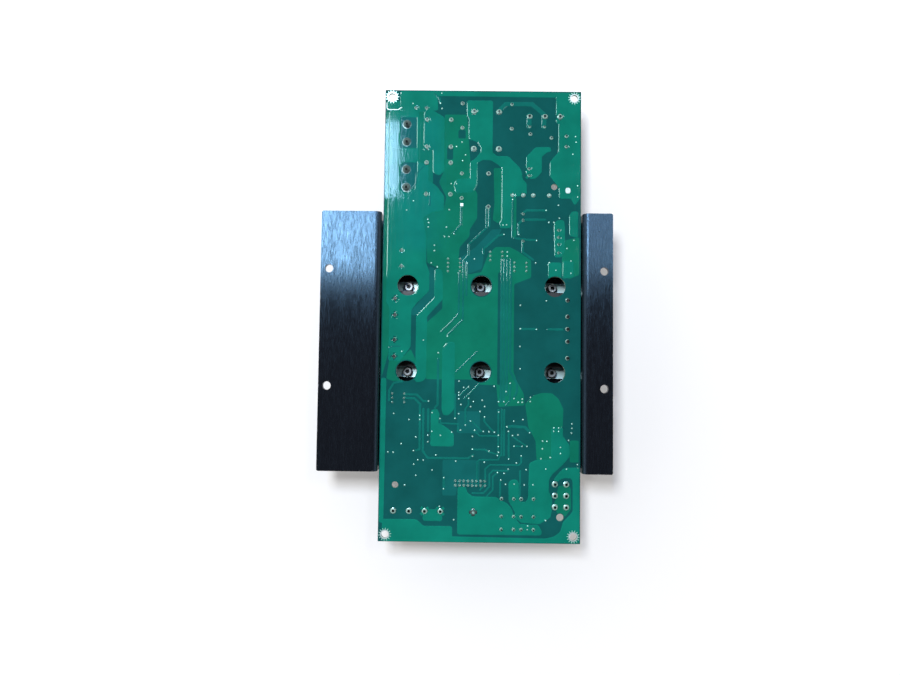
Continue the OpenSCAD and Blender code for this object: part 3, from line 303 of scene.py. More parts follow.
def mixed(tree, share, first, second):
    """A colour between two colours."""
    values = {0: share, 6: first, 7: second}
    return shader_node(tree, "ShaderNodeMix", values, data_type="RGBA").outputs[2]


def blended(tree, first, second, share):
    """Two values added, with that share of the first one."""
    kept = times(tree, first, share)
    return math_node(tree, "ADD", kept, times(tree, second, 1 - share))


def facing(tree):
    """The surface's direction, as x, y and z sockets."""
    return parts(tree, shader_node(tree, "ShaderNodeNewGeometry").outputs["Normal"])


def rough_surface(tree, shader, height, strength, distance=0.2 * MM):
    """A bump from a height value."""
    values = {"Height": height, "Strength": strength, "Distance": distance}
    feed(tree, shader, Normal=shader_node(tree, "ShaderNodeBump", values).outputs["Normal"])


def shade(colour, factor=1.0):
    """A colour made lighter or darker, with its alpha."""
    return tuple(min(1.0, c * factor) for c in colour[:3]) + (1.0,)


# Finishes

LEAD_TIN = (0.045, 0.055, 0.055)
FINE_TIN = (0.36, 0.56, 0.50)
FINE_TIP_BARENESS = 0.25
LEAD_LENGTH = 0.2 * MM
DIPPED_LEAD_LENGTH = 1.5 * MM


def lead_share(tree, length=LEAD_LENGTH):
    """1 on a lead, which starts that length below the board, and 0 on the body of the part."""
    return math_node(tree, "GREATER_THAN", parts(tree, place(tree))[2], part_face - length)


def tipped(tree, shader, colour, length, tip, bare):
    """The colour of a part with tinned leads, whose metal is fed to the shader.

    The fine leads are wet with solder and flux, so they are less metallic.
    """
    lead = lead_share(tree, length)
    tip_bare = FINE_TIP_BARENESS if tip == FINE_TIN else 1.0
    feed(tree, shader, Metallic=remap(tree, lead, 0.0, 1.0, bare, tip_bare))
    return mixed(tree, lead, colour, shade(tip))


WEAVE = 9000
MASK_TINT = (0.80, 1.0, 0.98, 1.0)
MASK_GLOSS = 0.15
LAMINATE_GLOSS = 0.07
MASK_SHEEN = (0.026, 0.0988)
# Painted light: the mask's colour is multiplied by these, from the board's low-y end (bottom) to its
# high-y end (top)
MASK_PAINTED_LIGHT_GAIN = (1.12, 0.90)


def mask_finish(name, tone, gloss=MASK_GLOSS, edge=None):
    """Glossy mask: an uneven film over woven laminate, which is bare on cut edges where edge is set, with
    painted light that makes it lighter towards the bottom of the board and darker towards the top.
    """
    finish, tree, shader = new_finish(name, IOR=1.5, Specular_IOR_Level=gloss, Specular_Tint=MASK_TINT)
    threads = parts(tree, place(tree, (WEAVE,) * 3))
    weave = times(tree, *(math_node(tree, "SINE", threads[axis]) for axis in (0, 1)))
    cloud = remap(tree, noise(tree, place(tree), 70, 3), 0.3, 0.7)
    blotch = math_node(tree, "ADD", cloud, times(tree, weave, 0.05))
    colour = mixed(tree, blotch, shade(tone, 0.88), shade(tone, 1.10))
    # Painted light: the mask is lighter towards the bottom of the board and darker towards the top,
    # standing in for how the light falls across it
    painted_light_gain = remap(tree, parts(tree, place(tree))[1], board_low.y, board_high.y, *MASK_PAINTED_LIGHT_GAIN)
    colour = vector_node(tree, "MULTIPLY", colour, painted_light_gain)[0]
    if edge:
        on_face = remap(tree, math_node(tree, "ABSOLUTE", facing(tree)[2]), 0.45, 0.55)
        colour = mixed(tree, on_face, shade(edge), colour)
    dull = noise(tree, place(tree, (1, 0.06, 1)), 700, 4)
    feed(tree, shader, Base_Color=colour, Roughness=remap(tree, dull, 0.32, 0.72, *MASK_SHEEN))
    ripple = noise(tree, place(tree, (1, 0.15, 1)), 900, 3)
    relief = math_node(tree, "ADD", ripple, times(tree, weave, 0.02))
    rough_surface(tree, shader, relief, 0.06, 0.3 * MM)
    return finish


# Painted shade: the black painted on the floors of sockets, where shade falls
PAINTED_SOCKET_SHADE = (0.012, 0.012, 0.013, 1)


def metal_finish(name, tone, polish, grain=(1, 1, 1), grain_scale=900, wear=0.12, bump=0.06, bare=1.0,
                 tip=None, painted_shade_below=None):
    """Metal with grain along its longest stretch, dull patches and fine marks.

    bare is less where the metal is tarnished, tip is the tone of the leads at the board, and a face that
    looks up from below the given socket floor height gets painted shade: it is painted black, standing in
    for the shade in a socket.
    """
    finish, tree, shader = new_finish(name, Metallic=bare)
    streak = noise(tree, place(tree, grain), grain_scale, 6, 0.65)
    share = blended(tree, streak, noise(tree, place(tree), 160, 3), 0.6)
    colour = mixed(tree, remap(tree, share, 0.3, 0.7), shade(tone, 1 - wear), shade(tone, 1 + wear))
    if tip:
        colour = tipped(tree, shader, colour, LEAD_LENGTH, tip, bare)
    # Painted shade: faces that look up from below the socket floor are painted black, standing in for the
    # shade deep in the socket
    if painted_shade_below:
        deep = math_node(tree, "LESS_THAN", parts(tree, place(tree))[2], painted_shade_below)
        painted_shade_share = times(tree, deep, math_node(tree, "GREATER_THAN", facing(tree)[2], 0.5))
        colour = mixed(tree, painted_shade_share, colour, PAINTED_SOCKET_SHADE)
    feed(tree, shader, Base_Color=colour,
         Roughness=remap(tree, share, 0.25, 0.75, polish * 0.7, polish * 1.4))
    rough_surface(tree, shader, streak, bump)
    return finish


def moulded_finish(name, tone, polish, pit_scale=1500, bump=0.10, vary=0.10, lead_length=LEAD_LENGTH,
                   tip=LEAD_TIN):
    """Moulded plastic or dipped resin: a fine skin, slightly uneven in colour, with tinned leads."""
    finish, tree, shader = new_finish(name, IOR=1.5)
    pits = noise(tree, place(tree), pit_scale, 3)
    cloud = noise(tree, place(tree), 110, 4)
    colour = mixed(tree, remap(tree, cloud, 0.3, 0.7), shade(tone, 1 - vary), shade(tone, 1 + vary))
    if lead_length:
        colour = tipped(tree, shader, colour, lead_length, tip, 0.0)
    feed(tree, shader, Base_Color=colour,
         Roughness=remap(tree, pits, 0.3, 0.7, polish * 0.8, polish * 1.25))
    rough_surface(tree, shader, pits, bump)
    return finish


SHEET_TINT = (0.35, 0.65, 1.0, 1.0)
SHEET_DARK = (0.0050, 0.0049, 0.0064, 1)
SHEET_LIGHT = (0.0088, 0.0086, 0.0110, 1)
SHEET_RUBBED = (0.03, 0.033, 0.036, 1)
SHEET_NICKED = (0.30, 0.31, 0.32, 1)
NICK_REACH = 0.6 * MM


def anodised_finish(name):
    """Black anodised sheet, brushed so that a highlight spreads across it, with rubs and nicks."""
    finish, tree, shader = new_finish(name, IOR=1.66, Anisotropic=0.94, Specular_Tint=SHEET_TINT)
    across = vector_of(tree, 1.0)
    brush = noise(tree, place(tree, (1.0, 0.11, 1.0)), 1900, 6, 0.75)
    share = blended(tree, brush, noise(tree, place(tree, (1.0, 0.10, 1.0)), 300, 3), 0.8)
    rubbed = remap(tree, noise(tree, place(tree, (1.0, 0.3, 1.0)), 120, 6, 0.75), 0.62, 0.80)
    colour = mixed(tree, remap(tree, share, 0.3, 0.7), SHEET_DARK, SHEET_LIGHT)
    colour = mixed(tree, times(tree, rubbed, 0.2), colour, SHEET_RUBBED)
    low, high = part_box("heat_sink")
    at = parts(tree, place(tree))
    near_edge = 0.0
    for axis in (0, 1):
        for edge, inward in ((low[axis], 1), (high[axis], -1)):
            nearness = remap(tree, at[axis], edge + inward * NICK_REACH, edge)
            near_edge = math_node(tree, "MAXIMUM", near_edge, nearness)
    chipped = remap(tree, noise(tree, place(tree), 260, 5, 0.7), 0.58, 0.66)
    colour = mixed(tree, times(tree, near_edge, chipped), colour, SHEET_NICKED)
    dull = remap(tree, share, 0.37, 0.63, 0.13, 0.34)
    feed(tree, shader, Tangent=across, Base_Color=colour, Roughness=dull)
    rough_surface(tree, shader, share, 0.16)
    return finish


def glass_finish(name):
    """Thin clear fuse glass with a faint haze."""
    tone = (0.93, 0.97, 0.96, 1)
    finish, tree, shader = new_finish(name, IOR=1.47, Transmission_Weight=1.0, Base_Color=tone)
    haze = noise(tree, place(tree), 500, 4)
    feed(tree, shader, Roughness=remap(tree, haze, 0.3, 0.8, 0.02, 0.10))
    return finish


CAN_STRIPE = (0.50, 0.52, 0.53, 1)
CAN_END = (0.72, 0.73, 0.74, 1)


def can_finish(name, node):
    """A capacitor can: a dark sleeve with one pale stripe, and bare metal in the middle of its end."""
    low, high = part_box(node)
    radius = (high.x - low.x) / 2
    finish, tree, shader = new_finish(name)
    at = parts(tree, place(tree, centre=(low + high) / 2))
    squares = [math_node(tree, "POWER", at[axis], 2.0) for axis in (0, 1)]
    off_axis = math_node(tree, "SQRT", math_node(tree, "ADD", *squares))
    upright = math_node(tree, "ABSOLUTE", facing(tree)[2])
    in_middle = remap(tree, off_axis, radius * 0.86, radius * 0.84)
    on_end = times(tree, remap(tree, upright, 0.5, 0.6), in_middle)
    on_side = math_node(tree, "LESS_THAN", upright, 0.5)
    stripe = times(tree, remap(tree, at[0], radius * 0.88, radius * 0.90), on_side)
    cloud = remap(tree, noise(tree, place(tree), 200, 4), 0.3, 0.7)
    sleeve = mixed(tree, cloud, shade(palette["can_sleeve"], 0.85), shade(palette["can_sleeve"], 1.2))
    covered = mixed(tree, on_end, mixed(tree, stripe, sleeve, CAN_STRIPE), CAN_END)
    lead = lead_share(tree)
    matt = math_node(tree, "MAXIMUM", remap(tree, cloud, 0.0, 1.0, 0.26, 0.38), times(tree, lead, 0.7))
    colour = mixed(tree, lead, covered, shade(LEAD_TIN, 0.4))
    feed(tree, shader, Base_Color=colour, Metallic=on_end, Roughness=matt)
    rough_surface(tree, shader, noise(tree, place(tree, (1, 1, 0.1)), 900, 4), 0.05)
    return finish


DARK_MASK = (0.0060, 0.090, 0.084)
DIM_MASK = (0.0070, 0.120, 0.111)
FAR_MASK = (0.0050, 0.167, 0.102)
NEAR_MASK = (0.0050, 0.189, 0.131)
TRACK_MASK = (0.0060, 0.146, 0.119)
LAMINATE = (0.36, 0.46, 0.34)
TIN = (0.80, 0.81, 0.80)
VIA_TIN = (0.52, 0.88, 0.78)
LAND_TIN = (0.60, 0.70, 0.68)
DULL_TIN = (0.42, 0.66, 0.62)
STAINED_TIN = (0.105, 0.165, 0.16)
MILLED_PLATE = (0.76, 1.0, 1.0)
ZINC = (0.66, 0.67, 0.69)
DULL_ZINC = (0.40, 0.42, 0.43)
SPRING_STEEL = (0.09, 0.09, 0.10)
ENAMELLED_COPPER = (0.62, 0.24, 0.09)
GOLD = (0.78, 0.58, 0.26)
PRINT = (0.78, 0.79, 0.76)
SOCKET_DEPTH = 0.6 * MM

mask_dark = mask_finish("mask_over_laminate", DARK_MASK, LAMINATE_GLOSS, LAMINATE)
mask_dim = mask_finish("mask_over_mesh_copper", DIM_MASK, LAMINATE_GLOSS)
mask_far = mask_finish("mask_over_far_copper", FAR_MASK)
mask_near = mask_finish("mask_over_near_copper", NEAR_MASK)
mask_track = mask_finish("mask_over_tracks", TRACK_MASK)
solder_finish = metal_finish("solder_grey", DULL_TIN, 0.30, grain_scale=1400, wear=0.25, bump=0.10)
via_finish = metal_finish("via_bright", VIA_TIN, 0.30, grain_scale=1400, bump=0.10, bare=0.45)
land_finish = metal_finish("land_tinned", LAND_TIN, 0.45, grain_scale=2200, wear=0.2, bump=0.14, bare=0.5)
stained_finish = metal_finish("solder_stained", STAINED_TIN, 0.30, (1, 1, 1), 700, 0.7, 0.4, 0.9)
print_finish = moulded_finish("board_print", PRINT, 0.55, 2200, lead_length=None)

slot_finishes = {
    "anodised_sheet": anodised_finish("sheet_black_anodised"),
    "solder_mask": mask_dark,
    "solder": solder_finish,
    "bare_aluminium": metal_finish("baseplate_milled", MILLED_PLATE, 0.46, (0.05, 1, 1), 1600, wear=0.03),
    "tinned_pin": metal_finish("pin_tinned", TIN, 0.24, tip=LEAD_TIN),
    "zinc_screw": metal_finish("screw_zinc", ZINC, 0.34, wear=0.2, bare=0.6),
    "spring_steel": metal_finish("washer_spring_steel", SPRING_STEEL, 0.34, wear=0.2),
    "tinned_plate": metal_finish("plate_tinned", TIN, 0.28, (1, 0.1, 1), tip=LEAD_TIN),
    "copper_wire": metal_finish("enamelled_wire", ENAMELLED_COPPER, 0.26, wear=0.18, tip=LEAD_TIN),
    "fuse_glass": glass_finish("fuse_glass_clear"),
    "gold_pin": metal_finish("pin_gold_plated", GOLD, 0.22, tip=FINE_TIN),
}

# Slot and name of each moulded finish, then its polish, pit scale, bump, unevenness, lead length and tip
MOULDED = [
    ("thermal_sheet", "thermal_sheet_grey", 0.7, 900),
    ("case_plastic", "converter_case_black", 0.42, 1200, 0.16),
    ("block_plastic", "block_black", 0.38, 1500, 0.12),
    ("film_yellow", "film_box_yellow", 0.30, 1100, 0.06),
    ("film_blue", "film_box_blue", 0.30, 1100, 0.06),
    ("film_red", "film_box_red", 0.30, 1100, 0.06),
    ("dipped_blue", "dipped_resin_blue", 0.24, 260, 0.25, 0.10, DIPPED_LEAD_LENGTH),
    ("dipped_green", "dipped_resin_green", 0.30, 320, 0.25, 0.10, DIPPED_LEAD_LENGTH),
    ("ferrite", "ferrite_grey", 0.55, 2200, 0.22, 0.25),
    ("core_coat", "toroid_coating", 0.40, 600, 0.20),
    ("bobbin_plastic", "bobbin_plastic", 0.36),
    ("winding_tape", "winding_tape", 0.28, 700, 0.08),
    ("chip_black", "chip_moulding_black", 0.46, 2600, 0.16, 0.10, LEAD_LENGTH, FINE_TIN),
    ("chip_white", "chip_moulding_white", 0.42, 2600, 0.12, 0.10, LEAD_LENGTH, FINE_TIN),
    ("chip_ceramic", "chip_ceramic_tan", 0.50, 2600, 0.12),
    ("connector_plastic", "connector_nylon", 0.40),
]
for slot_name, finish_name, *values in MOULDED:
    slot_finishes[slot_name] = moulded_finish(finish_name, palette[slot_name], *values)

for node_name, solid in frame["nodes"].items():
    slot_name = solid.data.materials[0].name.split(".")[0]
    if slot_name == "can_sleeve":
        finish = can_finish("can_sleeve_" + node_name, node_name)
    elif node_name == "converter_screws":
        # The screw heads get painted shade, black, on the floors of their hex sockets
        socket_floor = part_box(node_name)[1].z - SOCKET_DEPTH
        finish = metal_finish("screw_socket_head", DULL_ZINC, 0.30, wear=0.3, bare=0.7,
                              painted_shade_below=socket_floor)
    else:
        finish = slot_finishes[slot_name]
    solid.material_slots[0].material = finish


# Places of the leads, read from the solder solids

def solder_places():
    """Centre, pad radius and height of each solder joint, in metres."""
    bm = bmesh.new()
    bm.from_mesh(frame["nodes"]["solder_joints"].data)
    bmesh.ops.remove_doubles(bm, verts=bm.verts[:], dist=1e-6)
    seen, found = set(), []
    for start in bm.verts:
        if start in seen:
            continue
        island, front = [], [start]
        seen.add(start)
        while front:
            vert = front.pop()
            island.append(vert.co)
            for edge in vert.link_edges:
                other = edge.other_vert(vert)
                if other not in seen:
                    seen.add(other)
                    front.append(other)
        left, right = min(c.x for c in island), max(c.x for c in island)
        back, front_y = min(c.y for c in island), max(c.y for c in island)
        centre = Vector(((left + right) / 2, (back + front_y) / 2))
        found.append((centre, (right - left) / 2, max(c.z for c in island) - solder_face))
    bm.free()
    return found


joints = solder_places()

# Copper on the solder side, as outlines on the layout grid: x, y, x, y
NEAR_POURS = [
    # rail along the input end and down the right edge
    [9.5, 0.9, 119.2, 0.9, 119.2, 66, 116.4, 70, 114, 66, 107, 66, 107, 60, 105.5, 57.5, 101.4, 52.5,
     101.4, 44, 106.5, 38, 106.5, 20, 105, 19, 105, 3.3, 9.5, 3.3],
    [9.5, 3, 31, 3, 31.5, 5, 32, 12, 24, 12.9, 9.5, 12.9],
    [1, 7.4, 9.2, 7.4, 9.2, 12.2, 1, 12.2],
    # line pour from the fuse to the chokes
    [50.5, 6.5, 65.5, 6.5, 65.5, 38.5, 68.5, 41, 75.5, 41, 82, 47.5, 83.6, 50.5, 84, 54.5, 86.6, 57.5,
     86.6, 64, 79, 65.5, 78, 67, 78, 83, 76.5, 84.5, 71.5, 84.5, 70.8, 82, 72.2, 80, 72.2, 47.5, 69, 44.8,
     65, 42.6, 60, 42.4, 56.5, 44.5, 56.5, 58, 54, 62.5, 44, 63.5, 43, 58, 44.5, 55.5, 52.8, 55,
     52.8, 44.5, 56, 42.5, 59, 38.5, 59.2, 35, 57, 31.5, 51.7, 29.8, 51.7, 17, 50.5, 15],
    # pour along the bulk capacitors
    [3, 13, 20.4, 13, 20.4, 44.5, 26.8, 46.8, 26.8, 56, 32, 60, 36.4, 66, 36.4, 74, 29, 75.5, 24, 79,
     25.8, 90, 26, 107, 28, 112.5, 28, 123.5, 20.5, 131, 17.3, 135.5, 17.3, 157.5, 11, 166, 5, 166,
     5, 134, 3, 131],
    [24.2, 11.5, 28.5, 11.5, 31.5, 14.5, 36, 17, 36.2, 50, 33.5, 52.5, 30, 50.8, 30, 36.8, 24.2, 36.8],
    # pours beside the isolation gap
    [32, 111, 35.5, 111, 36.3, 114, 36.3, 128.5, 27, 139, 26.8, 176, 25, 178, 21.3, 178.5, 21.3, 139,
     32, 128],
    [37.4, 158, 40, 155, 44, 155, 44, 194.5, 41, 198, 38.3, 198, 37.4, 195],
    # output pour and its return
    [103, 205.4, 109.3, 205, 109.2, 210, 113.5, 216, 113.5, 222, 109, 227, 103, 232.5, 101, 236, 101, 243,
     103, 247, 103, 253, 102, 258, 95.5, 261.8, 85, 261, 82.4, 258.8, 82, 256, 80, 252, 78, 249,
     77.8, 238, 79.5, 236.5, 82, 236.5, 83, 238, 83.2, 248.5, 84.5, 249.6, 88, 249.5, 89.5, 247,
     90, 226.5, 94, 224.6, 103, 224.6],
    [47.6, 241, 51.5, 241, 52.5, 244.5, 56, 246.8, 70, 247, 73, 249, 76, 250.2, 79, 253.5, 81, 259,
     84, 262.6, 95, 263, 97, 266.5, 96.5, 268.3, 47.6, 268.3],
    # rail along the output end
    [2.6, 260.7, 22.5, 260.7, 27, 264.5, 43.6, 264.5, 43.6, 270.5, 99.5, 270.9, 105, 269.5, 108.6, 266.5,
     110.2, 260.8, 113.5, 257.5, 115.9, 254.5, 115.9, 236.5, 114.5, 234.6, 110.5, 234.4, 107, 236,
     105.2, 238.6, 104.4, 237.8, 105, 235.2, 108, 231.6, 110.8, 229.2, 119.2, 228.8, 119.2, 272.8,
     2.6, 272.8],
    [0.9, 177, 3, 177, 3, 262, 0.9, 262],
    # islands
    [27, 254.5, 37.6, 254.5, 37.6, 260.6, 27, 260.6],
    [31, 196, 34, 195, 35.3, 198, 34.5, 203.5, 38, 205, 41.5, 207.5, 44, 210, 44, 216.5, 31, 216.5],
    [87, 41, 92.5, 35.2, 101, 35, 101.5, 37, 99, 37.5, 95.7, 40.5, 95.7, 50, 92, 54, 88, 54, 86.8, 52.5],
    [104, 82, 106, 80, 109.5, 80, 110, 84, 110, 99, 108, 102, 104.5, 102],
    [113.2, 77, 115, 74.5, 118, 74.5, 118, 90, 113.4, 89],
    [100.5, 106, 108, 106, 108, 115, 100.5, 116],
    [109.4, 105, 115.5, 105, 115.5, 114, 109.4, 115],
]

# Keep-outs in those pours
NEAR_GAPS = [
    [9, 16.5, 20, 16.5, 20, 36.5, 9, 36.5],
    [9.2, 47, 11.5, 44.5, 20.5, 44.5, 20.5, 52, 19, 62, 9.2, 63],
]

# Copper on the far side, which shows through as a paler green
FAR_POURS = [
    [36.6, 15, 50.2, 15, 52.5, 44, 52.5, 56, 57, 64, 57, 79, 52.5, 86, 52.5, 90, 46.5, 97, 46, 104,
     49, 107, 52, 113.5, 60, 112, 64, 101, 68.5, 96.5, 77, 96.5, 82, 99, 90, 104.5, 90, 115, 79.8, 119,
     79.8, 172, 82, 178, 86, 185, 86.5, 192, 71, 193, 69.5, 180, 60, 180, 57, 177, 27.2, 177, 27.2, 143,
     36.6, 134.5, 36.6, 113, 32, 109, 27, 106.5, 26.2, 88, 24.3, 79.4, 29.5, 75.8, 36.8, 74.4, 38, 66,
     33.5, 57, 36.6, 50],
    [66.8, 48, 72, 48, 72, 80, 70, 82, 66.5, 80, 67.5, 70],
    [20.6, 13, 24, 13, 24, 37, 29.8, 37, 29.8, 58, 27, 55.5, 27, 46.5, 20.6, 44],
    [0.6, 13, 2.8, 13, 2.8, 131, 4.8, 134, 4.8, 160, 0.6, 176],
    [5, 166.2, 11.2, 166.2, 17.8, 159, 21.2, 166, 21.2, 177.5, 8, 178.5, 3.4, 177],
    [87, 191, 92, 186, 97, 184.4, 103, 184.6, 107, 188, 109.8, 194, 109.4, 204.8, 102.8, 205.2,
     102.8, 224.4, 94, 224.4, 93.3, 213, 89, 205, 88, 198],
    [110.5, 92, 119, 90, 119, 113, 113, 115.5, 108.6, 113, 108.6, 103],
    [113.8, 212.5, 119, 212.5, 119, 225.5, 113.8, 225.5],
    [78, 66.5, 80.8, 66.5, 80.8, 90, 78, 91],
    [107, 239.5, 113.5, 239.5, 114.4, 241, 114.6, 253, 111, 257.6, 106.5, 256, 104.4, 250, 106, 246],
]

# Meshed copper, which shows less
DIM_POURS = [
    *NEAR_GAPS,
    [38, 225, 60, 225, 60, 240, 47, 240, 46, 246, 38, 246],
    [46.5, 196, 60, 196, 60, 209, 46.5, 209],
    [46, 104.5, 49, 102, 56, 97, 60, 93, 66, 86, 72, 85.5, 71, 88, 62, 97, 60, 110, 52, 113],
    [28.3, 109, 31.7, 110, 31.7, 127.5, 20.8, 138.6, 17.6, 138.6, 17.6, 135.8, 28.3, 124],
]

FAR_GAPS = [
    [70, 112, 72, 112, 72, 180, 70, 180],
    [38.2, 35, 42, 35, 42, 43, 38.2, 43],
    [45, 24.5, 49.5, 24.5, 49.5, 29.8, 45, 29.8],
]

# Tracks: width in millimetres, then the corners
TRACKS = [
    (2.2, 69.5, 12.5, 74, 8, 90, 8, 97, 14),
    (2.5, 88.2, 15, 88.2, 22),
    (2.5, 97.3, 15, 97.3, 22),
    (0.9, 30.3, 2, 33.3, 5, 33.7, 8),
    (0.9, 28.2, 66, 28.2, 71.5),
    (0.7, 47.3, 72, 47.3, 83, 43, 88),
    (0.7, 62.7, 72, 62.7, 85, 58.5, 89, 52, 95, 52, 102, 49, 105, 49, 114),
    (0.7, 64.4, 72, 64.4, 84),
    (0.6, 51, 106, 51, 126),
    (0.8, 73, 88.8, 70, 89.5, 61, 98, 61, 101),
    (0.7, 78.5, 67, 78.5, 90.5),
    (1.0, 84.8, 76, 87, 73.8, 99, 73.8),
    (1.0, 84.8, 80, 87, 79.5, 98, 79.5),
    (0.8, 82.3, 88.7, 82.3, 82, 84.5, 80),
    (0.9, 84.8, 92.5, 84.8, 99.5, 91, 104),
    (0.8, 80, 91, 88, 92, 93, 92),
    (0.8, 72.3, 104, 72.3, 190),
    (0.8, 74, 104, 74, 190),
    (0.8, 75.8, 104, 75.8, 186),
    (0.8, 77.8, 104, 77.8, 172, 82, 179, 82, 184, 80, 188),
    (0.9, 84, 146.2, 93, 146.2),
    (0.9, 100.5, 146.2, 109, 146.2),
    (0.8, 5.3, 190, 5.3, 184, 8, 179.5, 13, 178.5),
    (0.8, 14.5, 186.3, 22, 186.3, 26, 190.3, 28.5, 190.3),
    (0.8, 14.5, 188.5, 20.5, 188.5, 24, 192, 24, 219, 22, 219.5),
    (0.8, 26, 195, 26, 220, 29, 224, 53, 224, 56, 222),
    (0.8, 29, 195, 29, 208),
    (0.8, 34.5, 165, 34.5, 192, 33, 194),
    (0.8, 38.8, 235.5, 38.8, 242),
    (1.2, 77, 205, 79, 204.5, 87, 205, 90, 208),
    (0.6, 71, 195, 71, 222),
    (0.6, 73, 195, 73, 222),
    (0.6, 74.5, 195, 74.5, 222),
    (0.6, 77.3, 208, 77.3, 224),
    (0.5, 72.4, 222, 71, 224.6, 60, 224.6, 58.5, 226, 58.5, 240),
    (0.5, 84.8, 222.2, 84.8, 226.3, 83.4, 227.6, 66, 227.6, 63.5, 230, 63.5, 239, 60.5, 242.4),
    (0.5, 77, 231, 68, 231, 66, 233, 66, 240.5, 62.5, 244.4, 56, 244.4),
    (0.5, 70.7, 232.2, 68, 234.6, 68, 242.5, 64.6, 246),
    (0.5, 53, 188.5, 53, 192, 51.2, 194.5, 51.2, 204.2),
    (0.5, 54.4, 201.8, 55.6, 202, 60.6, 207.6, 62, 208),
    (0.5, 56.6, 207.4, 59.8, 210.5, 71.2, 210.5),
    (0.5, 62.6, 199.5, 62.6, 202, 66, 206, 68.6, 208.2),
    (0.5, 45, 186, 45, 200.2),
    (0.5, 36.3, 200.5, 36.3, 203.2, 46.8, 203.6, 46.8, 208),
    (0.5, 55.6, 218.6, 63, 218.6, 65.5, 220, 70, 221.3),
    (0.5, 79.5, 210.3, 82, 212.5, 88.2, 216.4),
    (0.5, 80.5, 216.4, 85.2, 216.4),
    (0.5, 72.4, 236.7, 72.4, 247.6),
    (0.5, 84.2, 231, 84.2, 246),
    (0.6, 75, 192.5, 77.7, 189.5, 78.2, 179),
    (0.6, 24.5, 47, 19.7, 52, 19.5, 58, 17.5, 61),
    (0.6, 4.5, 158.5, 7, 157.5, 11.5, 157.5),
    (0.5, 36, 148.5, 44.8, 139.5, 46.5, 137, 46.5, 112),
    (0.5, 39.8, 150.5, 49, 141, 49, 114),
    (0.5, 45.3, 172.5, 58, 160),
    (0.5, 50.5, 188.5, 59, 179.7),
    (0.5, 48, 186.5, 52.5, 181.8),
]

# Vias and small solder dots
VIAS = [
    9.5, 1.8, 10, 11, 17, 8.3, 34.5, 1.7, 33.8, 8, 34.8, 11.2, 47.3, 32, 44, 34.8, 49.5, 40, 47.8, 43.6,
    41, 57.9, 44.3, 57.9, 18.1, 68.7, 14, 74.5, 27, 80, 27.5, 82, 27.4, 84.7, 40, 74, 38.4, 84.7,
    43, 88.8, 37.3, 90.5, 40.1, 90.5, 31.3, 95.9, 31.3, 99.2, 29.5, 106.7, 33.2, 109, 51.2, 106.5,
    55.6, 104, 116.6, 28, 117, 31.4, 115, 39, 118, 58.4, 118, 65.3, 78.5, 67.3, 98.9, 73.8, 100.6, 81.1,
    103.7, 81.1, 107, 78.5, 106.4, 70.5, 72.7, 83, 74.9, 82.9, 73.4, 88.8, 82.4, 88.7, 93.2, 92.3,
    111.7, 97, 115.9, 92, 75.5, 99.5, 75.5, 102, 92.7, 106, 101, 105.8, 105, 110.3, 114.1, 104.6,
    114.1, 112.1, 99.4, 129, 83.7, 131.9, 83.8, 146, 93.4, 146.2, 83.6, 156.7, 83.7, 170.2, 25.4, 153.6,
    34.5, 161.1, 39.8, 151, 12.5, 160.5, 77.9, 178.9, 68.2, 180.8, 75.5, 183.9, 80.2, 188, 85.2, 188.3,
    82.8, 190.2, 85.2, 190.2, 90.1, 187.2, 90, 189.7, 71, 190, 74.2, 190, 71.1, 196.2, 61.2, 189.3,
    62.7, 193, 60, 196, 62.7, 199.3, 28.9, 190.2, 31.3, 197, 23.9, 198.8, 23.9, 201.1, 8.3, 197.8,
    17.4, 201.3, 47.2, 178, 50, 181.7, 52.9, 181.4, 47.2, 184.8, 47.2, 186.3, 47.2, 188.6, 53.1, 188.2,
    55.9, 190.1, 48.5, 192, 54.3, 193.2, 47.2, 197.5, 36.1, 200.5, 45, 200.2, 54.4, 201.8, 51.2, 204.2,
    48.4, 207.1, 56.8, 207.2, 43.2, 208.5, 31.3, 208.2, 28.9, 210.5, 28.9, 214.4, 36.5, 210.5,
    21.7, 211.6, 13, 215.7, 20.4, 219.8, 5.2, 220.8, 8.3, 220.9, 23.2, 225.2, 26.4, 225.3, 20.8, 227.8,
    33.9, 222.2, 45.8, 225.7, 31.7, 231.1, 22, 234.4, 38.8, 235.5, 38.7, 242.1, 15.5, 240.2, 55.6, 210.9,
    55.7, 218.5, 55.7, 222.6, 45, 260.2, 36.4, 252.5, 80.2, 201.5, 85.7, 200.5, 62, 207.9, 65.5, 208,
    68.7, 208.2, 71.1, 210, 76.2, 204.9, 77, 207.6, 79.5, 210.1, 82.8, 209.6, 89.7, 208.2, 80.5, 216.4,
    85.2, 216.4, 88.2, 216.4, 71.1, 216.7, 65.5, 219.5, 71.2, 220.1, 70.6, 222, 77.3, 224, 84.8, 222.1,
    62.8, 226.1, 82, 226.3, 77.1, 230, 87.8, 230.2, 70.7, 232.1, 74.7, 232.5, 72.7, 236.5, 80.7, 238.8,
    86.7, 239.2, 91.9, 239, 75.6, 239, 88.7, 265.4, 88.9, 263.3, 97.5, 213.2, 100.1, 213.2, 97.5, 217.7,
    102.2, 222.8, 96.6, 223.6, 104.2, 205.2, 107, 205.2, 104.1, 207.2, 107, 207.2, 108.2, 216.7,
    108.2, 220.4, 115, 202.7, 115, 205.3, 114.8, 208.2, 113, 212.6, 99.5, 229.6, 111.8, 229.6,
    118.4, 226.8, 99.5, 259.9,
]
VIA_RADIUS = 0.52 * MM
VIA_RISE = 0.26 * MM
BROAD_JOINT = 1.9 * MM

